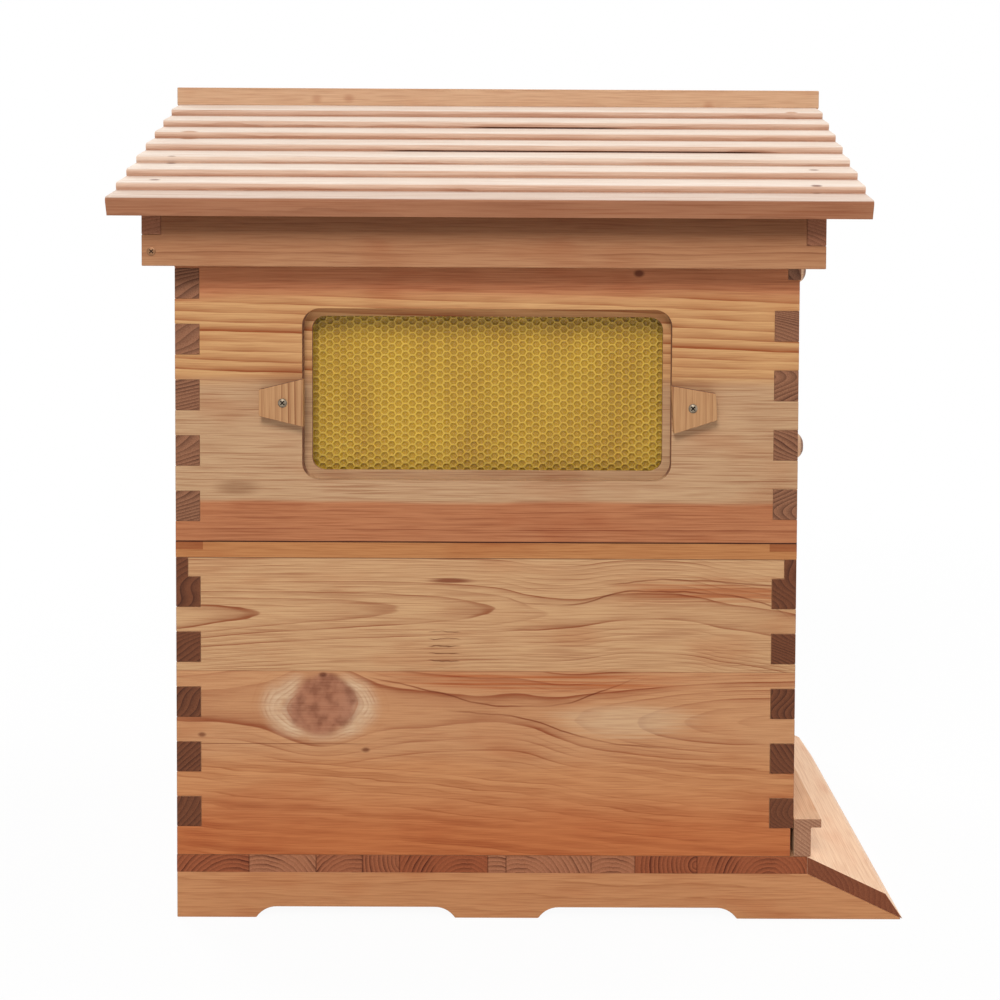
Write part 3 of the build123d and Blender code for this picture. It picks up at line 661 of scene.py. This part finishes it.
def slat_wood():
    """Slats with pale tops, darker noses and a reddish lowest edge; each has its own tone. Upward faces are
    paler partly by the wood and partly as painted top light, and painted shade lies under the noses and in
    the open joints.
    """
    material, tree, shader, (x, y, z) = new_material("slat_wood")
    inside = y.size() * -1.0 + EAVE_REACH
    up = inside * SLOPE_RUN + (z - EAVE_LEVEL) * SLOPE_RISE
    above = (z - EAVE_LEVEL) * SLOPE_RUN - inside * SLOPE_RISE
    slat = ((up + NOSE_MARGIN) / SLAT_PITCH).whole()
    lot = (slat + 0.5).random()
    grain = Board(*WALL_TONES, depth=40.0, spacing=5.0, strength=0.9, wave=4.0, sharp=0.4, seed=76.0)
    late = rings(tree, x + lot * 900.0, z * 0.4, up + lot * 300.0, grain)
    streak = noise(tree, (x * 0.006 + lot * 50.0, up * 0.42, lot * 9.0), 2.0)
    thread = noise(tree, (x * 0.008 + lot * 20.0, up * 1.5 + z * 0.7, lot * 5.0), 2.0)
    top = mix(tree, late, srgb(244, 230, 216), srgb(226, 198, 174))
    top = shade(tree, slat.rise(0.6, 0.4), top, (238, 232, 230))
    for place_x, place_y, width, tone in SLAT_KNOTS:
        reach = spot(x, y, (place_x, place_y), 0.7)
        top = shade(tree, reach.rise(width, width * 0.4) * 0.8, top, tone)
    rest = ((up + NOSE_MARGIN) / SLAT_PITCH).rest()
    # Painted shade: the back of each top, just below the next nose, is darkened as in that nose's shadow.
    corner = rest.rise(0.90, 0.97)
    top = shade(tree, corner * 0.6, top, (150, 108, 84))
    nose = mix(tree, late, srgb(238, 214, 194), srgb(206, 164, 138))
    nose = shade(tree, lot * 0.7, nose, (230, 204, 188))
    # Painted shade: each nose darkens towards its foot, where it sits on the slat below.
    nose = shade(tree, above.rise(NOSE_FOOT + 3.6, NOSE_FOOT) * 0.6, nose, (206, 170, 148))
    near = (y * -1.0).above(0.0)
    # Painted shadow: a dark line at the foot of the nose over each open joint.
    for number, left, right in OPEN_JOINTS:
        joint_shadow = (slat - number).size().rise(0.6, 0.4) * near * above.rise(NOSE_FOOT + 1.6, NOSE_FOOT + 1.0)
        joint_shadow = joint_shadow * (x - left).rise(0.0, 40.0) * (x - right).rise(0.0, -40.0)
        nose = shade(tree, joint_shadow, nose, (96, 60, 42))
    lowest = mix(tree, late, srgb(168, 114, 82), srgb(122, 72, 48))
    nose = mix(tree, slat.rise(0.6, 0.4), nose, lowest)
    # Upward faces take the paler top colour and the others the darker nose colour: partly the wood, partly
    # painted top light.
    colour = mix(tree, surface(tree, "Normal")[2].rise(0.45, 0.92), nose, top)
    colour = shade(tree, streak.rise(0.50, 0.72) * 0.25, colour, (222, 186, 166))
    colour = shade(tree, thread.rise(0.52, 0.66) * 0.5, colour, (216, 182, 160))
    ends = mix(tree, late, srgb(214, 176, 148), srgb(170, 124, 98))
    colour = mix(tree, end_on(tree, "X"), colour, ends)
    fibre = noise(tree, (x * 0.03, y * 1.1, z * 1.1), 3.0)
    coat(tree, shader, shade(tree, fibre.rise(0.6, 0.3) * 0.25, colour, (206, 170, 150)), fibre, 0.66)
    return material


def skirt_shade_and_pale_edge(tree, colour, point):
    """Painted shade: the skirt is darker towards the eave above it. It is also pale along its lower edge."""
    x, y, z = point
    # Painted shade under the eave.
    colour = shade(tree, z.rise(546.0, 572.0) * 0.75, colour, (196, 180, 172))
    return shade(tree, z.rise(539.0, 547.0) * 0.5, colour, (238, 226, 218))


def ridge_knots(tree, colour, point):
    """A few small knots along the ridge board's edge."""
    x, y, z = point
    for place in ((-190.3, 692.0), (-160.2, 692.4), (178.0, 686.8)):
        colour = shade(tree, spot(x, z, place, 0.8).rise(6.0, 0.5) * 0.35, colour, (190, 128, 88))
    return colour


def glued_wall(name, grain, outward, meets, seed, ends=PLAIN_ENDS):
    """A wall glued up from boards with arched grain, whose joints are shares of its height."""
    low, high = [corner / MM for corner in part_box(name)]
    outer = high if outward > 0 else low
    face = outer.y
    reach = (high.x - low.x) / 2
    middle = (high.x + low.x) / 2
    if grain == "Y":
        face = outer.x
        reach = (high.y - low.y) / 2
        middle = 0.0
    tall = high.z - low.z
    pale, dark = WALL_TONES
    boards = []
    for count, (bottom, top) in enumerate(zip((0.0,) + meets, meets + (1.0,))):
        lean = 1 if count % 2 else -1
        tone = 1.0 - 0.05 * (count % 2)
        depths = [(middle - lean * reach, 36.0), (middle, 20.0 + 5.0 * count), (middle + lean * reach, 8.0)]
        boards.append(Board(
            [value * tone for value in pale], dark, top=low.z + tall * top, depth=sorted(depths),
            centre=low.z + tall * (bottom + top) / 2, spacing=4.4 + 0.6 * count, strength=1.0, wave=2.5,
            lines=0.3, sharp=0.35, fine=2, seed=seed + 7.0 * count))
    dress(wood(name + "_wood", grain, boards, face=face, ends=ends), name)


glued_wall("brood_wall_far", "X", 1, (0.36, 0.71), 31.0)
glued_wall("super_wall_far", "X", 1, (0.3, 0.64), 32.0)
glued_wall("brood_wall_back", "Y", -1, (0.42, 0.7), 41.0, BROOD_ENDS)
glued_wall("brood_wall_front", "Y", 1, (0.33, 0.66), 42.0, BROOD_ENDS)
glued_wall("super_wall_back", "Y", -1, (0.35, 0.74), 43.0, SUPER_ENDS)
glued_wall("super_wall_front", "Y", 1, (0.4,), 44.0, SUPER_ENDS)
dress(plain_wood("entrance_bar_wood", "Y", BAR_TONES, 53.0, BAR_ENDS), "entrance_bar")
for count, name in enumerate(("harvest_shutter", "key_cover")):
    dress(plain_wood(name + "_wood", "Y", WALL_TONES, 51.0 + count), name)
dress(plain_wood("excluder_wood", "X", RIM_TONES, 61.0, RIM_ENDS, excluder_ends), "excluder_rim")
dress(plain_wood("inner_cover_wood", "X", WALL_TONES, 62.0), "inner_cover")
for count, name in enumerate(("base_rail_near", "base_rail_far")):
    dress(plain_wood(name + "_wood", "X", RAIL_TONES, 63.0 + count), name)
dress(plain_wood("cross_rail_wood", "Y", RAIL_TONES, 66.0), "base_rail_back", "base_rail_front")
dress(floor_boards_wood(), "floor_boards")
dress(plain_wood("landing_wood", "Y", LANDING_TONES, 68.0, LANDING_ENDS), "landing_board")
for count, name in enumerate(("roof_rail_near", "roof_rail_far")):
    dress(plain_wood(name + "_wood", "X", SKIRT_TONES, 71.0 + count, marks=skirt_shade_and_pale_edge), name)
gable_wood = plain_wood("gable_wood", "Y", SKIRT_TONES, 73.0, SKIRT_ENDS, skirt_shade_and_pale_edge)
dress(gable_wood, "roof_gable_back", "roof_gable_front")
dress(plain_wood("cleat_wood", "Y", WALL_TONES, 74.0), "roof_cleats")
dress(plain_wood("ridge_wood", "X", RIDGE_TONES, 75.0, marks=ridge_knots), "ridge_board")
latch_board = Board(*LATCH_TONES, depth=12.0, centre=-90.0, spacing=5.2, strength=1.3, wave=1.0, sharp=0.4,
                    seed=77.0)
latch_wood = wood("latch_wood", "Z", [latch_board], face=NEAR_FACE)
dress(latch_wood, "window_latch_left", "window_latch_right")
frame_wood = plain_wood("frame_wood", "X", FRAME_TONES, 78.0)
for number in range(1, BROOD_FRAMES + 1):
    dress(frame_wood, "brood_frame_%d" % number)
knob_wood = plain_wood("knob_wood", "X", KNOB_TONES, 57.0)
slats_wood = slat_wood()


# Metal and plastic

def plastic(name, colour, shadow, roughness):
    """Moulded plastic with a slightly uneven colour and gloss."""
    material, tree, shader, (x, y, z) = new_material(name)
    cloud = noise(tree, (x * 0.03, y * 0.03, z * 0.012), 3.0)
    grain = noise(tree, (x * 0.9, y * 0.9, z * 0.9), 2.0)
    feed(tree, shader.inputs["Base Color"], mix(tree, cloud.rise(0.3, 0.7), srgb(*shadow), srgb(*colour)))
    feed(tree, shader.inputs["Roughness"], grain * 0.15 + roughness)
    add_bump(tree, shader, grain, 0.03)
    return material


def steel(name, colour, shadow, roughness):
    """Worn metal with fine scratches."""
    material, tree, shader, (x, y, z) = new_material(name)
    cloud = noise(tree, (x * 0.4, y * 0.4, z * 0.4), 3.0)
    scratch = noise(tree, (x * 0.5, y * 6.0, z * 6.0), 2.0)
    feed(tree, shader.inputs["Base Color"], mix(tree, cloud.rise(0.3, 0.7), srgb(*shadow), srgb(*colour)))
    feed(tree, shader.inputs["Roughness"], scratch * 0.25 + roughness)
    shader.inputs["Metallic"].default_value = 1.0
    add_bump(tree, shader, scratch, 0.02)
    return material


dress(steel("grid_steel", (150, 152, 154), (118, 120, 122), 0.45), "excluder_grid")
screw_steel = steel("screw_steel", (158, 144, 124), (112, 100, 86), 0.4)
skirt_screw_steel = steel("skirt_screw_steel", (164, 122, 90), (128, 92, 66), 0.5)
# Painted shade: a dark steel for the cross recesses of the screw heads.
recess_shade_steel = steel("recess_shade_steel", (72, 58, 48), (46, 36, 30), 0.6)
comb_plastic = plastic("comb_plastic", (216, 180, 66), (206, 166, 54), 0.4)
cell_floor_plastic = plastic("cell_floor_plastic", (184, 144, 24), (168, 127, 20), 0.45)
dress(plastic("cap_plastic", (232, 222, 190), (220, 206, 168), 0.4), "honey_outlet_caps")
dress(screw_steel, "window_latch_screws")
for number in range(1, FLOW_FRAMES + 1):
    dress(comb_plastic, "flow_frame_%d" % number, "flow_frame_%d_moving_comb" % number)


def pane_material():
    """Clear sheet with a very faint haze."""
    material, tree, shader, (x, y, z) = new_material("clear_pane")
    haze = noise(tree, (x * 0.01, y * 0.01, z * 0.01), 2.0)
    shader.inputs["Base Color"].default_value = (1.0, 1.0, 1.0, 1.0)
    shader.inputs["Transmission Weight"].default_value = 1.0
    shader.inputs["IOR"].default_value = 1.49
    feed(tree, shader.inputs["Roughness"], haze * 0.05 + 0.01)
    shader.inputs["Alpha"].default_value = 0.14
    return material


dress(pane_material(), "window_pane")


# Pieces made here

def add_object(name, data):
    """A new object in the scene."""
    thing = bpy.data.objects.new(name, data)
    bpy.context.scene.collection.objects.link(thing)
    return thing


def add_part(mesh, points, faces):
    """Add corners and faces to a mesh in the making; points are in millimetres."""
    corners = [mesh.verts.new((x * MM, y * MM, z * MM)) for x, y, z in points]
    return [mesh.faces.new([corners[place] for place in face]) for face in faces]


def add_box(mesh, low, high):
    """Add a box between two corners."""
    points = [(x, y, z) for x in (low[0], high[0]) for y in (low[1], high[1]) for z in (low[2], high[2])]
    faces = [(0, 1, 3, 2), (4, 6, 7, 5), (0, 4, 5, 1), (2, 3, 7, 6), (0, 2, 6, 4), (1, 5, 7, 3)]
    return add_part(mesh, points, faces)


def to_object(mesh, name, body, slot, *materials):
    """Turn a mesh in the making into a piece that rides on a body."""
    bmesh.ops.recalc_face_normals(mesh, faces=mesh.faces)
    data = bpy.data.meshes.new(name)
    mesh.to_mesh(data)
    mesh.free()
    for material in materials:
        data.materials.append(material)
    piece = add_object(name, data)
    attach(piece, body)
    return piece


# Comb of the frame behind the window

def add_cell(mesh, x, front, z, side):
    """Add one open cell; side is 0 for a whole cell, -1 or 1 for its left or right half."""
    wide = CELL_PITCH_X * 2 / 3
    half = wide / 2
    tall = CELL_PITCH_Z / 2
    corners = [(-wide, 0), (-half, tall), (half, tall), (wide, 0), (half, -tall), (-half, -tall)]
    if side:
        corners = [(0, tall), (side * half, tall), (side * wide, 0), (side * half, -tall), (0, -tall)]
    count = len(corners)
    points = [(x + u * grow, front + back, z + w * grow) for grow, back in CELL_LOOPS for u, w in corners]
    last = count - 1 if side else count
    walls = []
    for loop in range(len(CELL_LOOPS) - 1):
        for place in range(last):
            near, far = loop * count + place, loop * count + (place + 1) % count
            walls.append((near, far, far + count, near + count))
    deep = (len(CELL_LOOPS) - 1) * count
    made = add_part(mesh, points, walls + [tuple(range(deep, deep + count))])
    for face in made[CELL_RIM_LOOPS * last:]:
        face.material_index = 1


def add_leaf(mesh, left, right, low, high):
    """Add one comb leaf: a core with cells on its near side, cut through the middles of the outer ones."""
    columns = round((right[0] - left[0]) / CELL_PITCH_X)
    front = left[1]
    core_front = front + CELL_DEPTH + CORE_GAP
    add_box(mesh, (left[0] + LEAF_GAP, core_front, low), (right[0] - LEAF_GAP, right[1], high))
    for column in range(columns + 1):
        side = {0: 1, columns: -1}.get(column, 0)
        x = left[0] + column * CELL_PITCH_X + side * LEAF_GAP / 2
        shift = (left[2] + column) % 2 / 2
        for row in range(int((high - low) / CELL_PITCH_Z - shift)):
            add_cell(mesh, x, front, low + (row + 0.5 + shift) * CELL_PITCH_Z, side)


def split_comb():
    """The frame behind the window with real cells; every second leaf is on the moving comb."""
    comb_low, comb_high = [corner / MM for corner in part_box("flow_frame_1_moving_comb")]
    fixed = bmesh.new()
    fixed.from_mesh(nodes["flow_frame_1"].data)
    leaf_faces = []
    for face in fixed.faces:
        corners = [vertex.co / MM for vertex in face.verts]
        beside = all(comb_low.x - COMB_PLAY < corner.x < comb_high.x + COMB_PLAY for corner in corners)
        level = all(comb_low.z - COMB_BASE - COMB_PLAY < corner.z < comb_high.z for corner in corners)
        if beside and level:
            leaf_faces.append(face)
    bmesh.ops.delete(fixed, geom=leaf_faces, context="FACES")
    moving = bmesh.new()
    bar_low = comb_high.z - COMB_BAR
    add_box(fixed, (comb_low.x, comb_low.y, comb_low.z - COMB_BASE), (comb_high.x, comb_high.y, comb_low.z))
    add_box(moving, (comb_low.x, comb_low.y, bar_low), comb_high)
    leaf_wide = LEAF_COLUMNS * CELL_PITCH_X
    leaves = int((comb_high.x - comb_low.x) / leaf_wide)
    first = (comb_low.x + comb_high.x - leaves * leaf_wide) / 2
    for leaf in range(leaves):
        left = (first + leaf * leaf_wide, comb_low.y, leaf * LEAF_COLUMNS)
        right = (first + (leaf + 1) * leaf_wide, comb_high.y)
        if leaf % 2:
            add_leaf(moving, left, right, comb_low.z, bar_low)
        else:
            add_leaf(fixed, left, right, comb_low.z, bar_low - LEAF_TOP_GAP)
    plastics = (comb_plastic, cell_floor_plastic)
    frame_piece = to_object(fixed, "near_flow_frame", "honey_super", "comb_plastic", *plastics)
    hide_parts("flow_frame_1")
    comb_piece = to_object(moving, "near_moving_comb", "flow_comb_1", "comb_plastic", *plastics)
    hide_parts("flow_frame_1_moving_comb")


split_comb()


# Lapped slats with round noses

def slat_outline(count):
    """A slat's outline as places up the slope and above the slats' underside; slat 0 is the lowest."""
    lap, lap_height = SLAT_LAP
    low = count * SLAT_PITCH
    high = low + SLAT_PITCH
    fall = SLAT_TAPER / SLAT_PITCH
    corners = [(low, 0.0)]
    if count > 0:
        corners = [(low, lap_height), (low + lap, lap_height), (low + lap, 0.0)]
    if count < SLAT_COUNT - 1:
        corners += [(high + lap, 0.0), (high + lap, lap_height), (high, lap_height)]
        top_end = high
    else:
        corners.append((EAVE_REACH / SLOPE_RUN, 0.0))
        top_end = EAVE_REACH + (SLAT_THICKNESS + fall * low) * SLOPE_RISE
        top_end = top_end / (SLOPE_RUN + fall * SLOPE_RISE)
    corners.append((top_end, SLAT_THICKNESS - fall * (top_end - low)))
    for step in range(NOSE_STEPS + 1):
        share = step / NOSE_STEPS
        back = SLAT_NOSE * (1 - share) ** 2
        corners.append((low + back, SLAT_THICKNESS - fall * back - SLAT_NOSE * share ** 2))
    return corners


def lapped_slats(node, name, side):
    """All slats of one slope, each a closed board; side is -1 for the near slope and 1 for the far one."""
    low, high = [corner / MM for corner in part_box(node)]
    mesh = bmesh.new()
    for slat in range(SLAT_COUNT):
        outline = []
        for up, above in slat_outline(slat):
            reach = EAVE_REACH - up * SLOPE_RUN + above * SLOPE_RISE
            outline.append((side * reach, low.z + up * SLOPE_RISE + above * SLOPE_RUN))
        corners = len(outline)
        points = [(x, y, z) for x in (low.x, high.x) for y, z in outline]
        faces = [tuple(range(corners)), tuple(range(corners, 2 * corners))]
        for place in range(corners):
            after = (place + 1) % corners
            faces.append((place, after, after + corners, place + corners))
        for face in add_part(mesh, points, faces):
            face.smooth = True
    bmesh.ops.recalc_face_normals(mesh, faces=mesh.faces)
    for edge in mesh.edges:
        edge.smooth = edge.calc_face_angle() < SMOOTH_ANGLE
    piece = to_object(mesh, name, "roof", "roof_wood", slats_wood)
    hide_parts(node)


lapped_slats("roof_slats_near", "near_roof_slats", -1)
lapped_slats("roof_slats_far", "far_roof_slats", 1)


# Turned knobs and screws

def spokes(axis, steps):
    """Directions square to an axis, all around it."""
    side = axis.orthogonal().normalized()
    other = axis.cross(side)
    turns = [2 * math.pi * step / steps for step in range(steps)]
    return [side * math.cos(turn) + other * math.sin(turn) for turn in turns]


def ring_faces(numbers, steps):
    """Faces between each ring of corners with one of these numbers and the next ring."""
    faces = []
    for ring in numbers:
        for step in range(steps):
            here, after = ring * steps + step, ring * steps + (step + 1) % steps
            faces.append((here, after, after + steps, here + steps))
    return faces


def turned(mesh, profile, origin, axis, steps):
    """Turn a profile of distance along the axis and radius about an axis through origin."""
    axis = Vector(axis)
    around = spokes(axis, steps)
    points = [Vector(origin) + axis * along + spoke * radius for along, radius in profile for spoke in around]
    faces = ring_faces(range(len(profile) - 1), steps)
    faces.append(tuple(range(steps)))
    faces.append(tuple(range((len(profile) - 1) * steps, len(profile) * steps)))
    for face in add_part(mesh, points, faces):
        face.smooth = True


def knob(node, name, body):
    """A turned wooden knob with a round crown and a waist, in place of the CAD knob."""
    low, high = [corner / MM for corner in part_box(node)]
    radius = (high.z - low.z) / 2
    length = high.x - low.x
    profile = []
    for step in range(KNOB_STEPS + 1):
        share = step / KNOB_STEPS
        swell = 0.5 - 0.5 * math.cos(math.pi * min(1.0, share / KNOB_WAIST_END))
        waist = KNOB_WAIST + (1 - KNOB_WAIST) * swell
        crown = math.sqrt(max(0.0, 1 - max(0.0, (share - KNOB_CROWN) / (1 - KNOB_CROWN)) ** 2))
        foot = KNOB_FOOT * max(0.0, 1 - share / KNOB_FOOT_END)
        profile.append((share * length, max(KNOB_TIP, (waist + foot) * crown) * radius))
    mesh = bmesh.new()
    turned(mesh, profile, (low.x, (low.y + high.y) / 2, (low.z + high.z) / 2), (1, 0, 0), KNOB_SIDES)
    piece = to_object(mesh, name, body, "hive_wood", knob_wood)
    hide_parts(node)


knob("harvest_knob", "shutter_knob", "harvest_shutter")
knob("key_cover_knob", "cover_knob", "key_cover")


def add_screw_head(mesh, origin, axis, radius, proud):
    """Add a domed head with a cross recess; origin is on the surface that it sits on."""
    axis = Vector(axis)
    around = spokes(axis, HEAD_SIDES)
    side, other = around[0], around[HEAD_SIDES // 4]
    points = []
    deep = []
    for ring in range(HEAD_RINGS + 1):
        dome = proud * (1 - HEAD_FALL * (ring / HEAD_RINGS) ** 3)
        for spoke in around:
            arm = spoke * (radius * ring / HEAD_RINGS)
            inner, outer = sorted((abs(arm.dot(side)), abs(arm.dot(other))))
            beyond = max(inner - CROSS_WIDTH, outer - CROSS_REACH * radius)
            dip = proud * CROSS_DEPTH * min(1.0, max(0.0, -beyond / (CROSS_SLOPE * CROSS_WIDTH)))
            points.append(Vector(origin) + arm + axis * (dome - dip))
            deep.append(dip > 0)
    points += [Vector(origin) + spoke * radius for spoke in around]
    deep += [False] * HEAD_SIDES
    faces = ring_faces(range(1, HEAD_RINGS + 1), HEAD_SIDES)
    # Faces deep in the cross recess and the recess's floor take the second material, which is painted shade.
    for face, corners in zip(add_part(mesh, points, faces), faces):
        face.smooth = True
        face.material_index = 1 if all(deep[corner] for corner in corners) else 0
    fan = [Vector(origin) + axis * (proud * (1 - CROSS_DEPTH))] + points[HEAD_SIDES:2 * HEAD_SIDES]
    sectors = [(0, 1 + step, 1 + (step + 1) % HEAD_SIDES) for step in range(HEAD_SIDES)]
    for face in add_part(mesh, fan, sectors):
        face.material_index = 1


def latch_screws():
    """The two turn-button screws: a shank in the wall and a cross-recessed head."""
    low, high = [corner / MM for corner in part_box("window_latch_screws")]
    mesh = bmesh.new()
    pivots = [joint["pos_m"] for joint in frame["joints"] if joint["child"].startswith("window_latch")]
    face_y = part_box("window_latch_left")[0].y / MM
    for pivot in pivots:
        place = (pivot[0] / MM, face_y, pivot[2] / MM)
        shank = [(0.0, LATCH_SHANK), (high.y - face_y, LATCH_SHANK)]
        turned(mesh, shank, place, (0, 1, 0), SHANK_SIDES)
        add_screw_head(mesh, place, (0, -1, 0), LATCH_HEAD, face_y - low.y)
    piece = to_object(mesh, "turn_button_screws", "honey_super", "screw_steel", screw_steel, recess_shade_steel)
    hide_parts("window_latch_screws")


latch_screws()


def skirt_screws():
    """A screw low at the back end of each skirt rail, into the gable."""
    low, high = [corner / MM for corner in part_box("roof_rail_near")]
    place_x = low.x + SKIRT_SCREW_IN
    place_z = low.z + SKIRT_SCREW_UP
    far_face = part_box("roof_rail_far")[1].y / MM
    mesh = bmesh.new()
    for face_y, axis in ((low.y, -1), (far_face, 1)):
        add_screw_head(mesh, (place_x, face_y, place_z), (0, axis, 0), SKIRT_SCREW_RADIUS, SKIRT_SCREW_PROUD)
    to_object(mesh, "skirt_screws", "roof", "screw_steel", skirt_screw_steel, recess_shade_steel)


skirt_screws()


# Camera, floor and light

def make_camera():
    """The camera at the photograph's place, with its frame shifted to the photograph's."""
    data = bpy.data.cameras.new("camera")
    data.sensor_width = CAMERA_SENSOR
    data.lens = CAMERA_LENS
    data.shift_x, data.shift_y = CAMERA_SHIFT
    camera = add_object("camera", data)
    yaw = Matrix.Rotation(-CAMERA_YAW, 4, "Z")
    pitch = Matrix.Rotation(math.pi / 2 + CAMERA_PITCH, 4, "X")
    roll = Matrix.Rotation(-CAMERA_ROLL, 4, "Z")
    camera.matrix_world = Matrix.Translation(CAMERA_PLACE) @ yaw @ pitch @ roll
    bpy.context.scene.camera = camera


def seen_directly(tree):
    """1 for rays from the camera, in mirrors and through glass, 0 for light on its way."""
    path = tree.nodes.new("ShaderNodeLightPath")
    camera = Field(tree, path.outputs["Is Camera Ray"])
    glossy = Field(tree, path.outputs["Is Glossy Ray"])
    through = Field(tree, path.outputs["Is Transmission Ray"])
    return camera.calc("MAXIMUM", glossy).calc("MAXIMUM", through)


def make_world():
    """An even pale light that shows as white behind the object."""
    world = bpy.data.worlds.new("studio")
    world.use_nodes = True
    tree = world.node_tree
    back = tree.nodes["Background"]
    back.inputs["Color"].default_value = (1.0, 1.0, 1.0, 1.0)
    feed(tree, back.inputs["Strength"], seen_directly(tree) * (1.0 - WORLD_LIGHT) + WORLD_LIGHT)
    bpy.context.scene.world = world


def make_floor():
    """A plain pale floor that keeps a soft shadow under the object."""
    mesh = bmesh.new()
    bmesh.ops.create_grid(mesh, x_segments=8, y_segments=8, size=FLOOR_SIZE)
    data = bpy.data.meshes.new("floor")
    mesh.to_mesh(data)
    mesh.free()
    floor = add_object("floor", data)
    material = bpy.data.materials.new("floor_white")
    material.use_nodes = True
    tree = material.node_tree
    shader = tree.nodes["Principled BSDF"]
    shader.inputs["Base Color"].default_value = FLOOR_COLOUR
    shader.inputs["Roughness"].default_value = 0.9
    shader.inputs["Specular IOR Level"].default_value = 0.1
    glow = tree.nodes.new("ShaderNodeEmission")
    blend = tree.nodes.new("ShaderNodeMixShader")
    x, y, z = surface(tree, "Object")
    away = x.root_of_squares(y)
    whiteness = away.rise(*FLOOR_FADE) * (1.0 - FLOOR_WHITENESS) + FLOOR_WHITENESS
    feed(tree, blend.inputs[0], seen_directly(tree) * whiteness)
    tree.links.new(shader.outputs[0], blend.inputs[1])
    tree.links.new(glow.outputs[0], blend.inputs[2])
    tree.links.new(blend.outputs[0], tree.nodes["Material Output"].inputs["Surface"])
    data.materials.append(material)


def make_lamp(name, place, target, size, power):
    """A square soft lamp that points at a target."""
    data = bpy.data.lights.new(name, "AREA")
    data.size = size
    data.energy = power
    lamp = add_object(name, data)
    lamp.location = place
    lamp.rotation_euler = (Vector(target) - Vector(place)).to_track_quat("-Z", "Y").to_euler()


make_camera()
make_world()
make_floor()
for lamp_settings in LAMPS:
    make_lamp(*lamp_settings)
bpy.context.scene.view_settings.view_transform = "Standard"


# Soft edges on single boards

for part in ("brood_wall", "super_wall", "base_rail"):
    for side in ("near", "far", "back", "front"):
        soften("%s_%s" % (part, side))
soften("roof_rail_near", "roof_rail_far", "roof_gable_back", "roof_gable_front", "ridge_board")
soften("harvest_shutter", "key_cover", "entrance_bar", "inner_cover", "landing_board")
soften("window_latch_left", "window_latch_right")
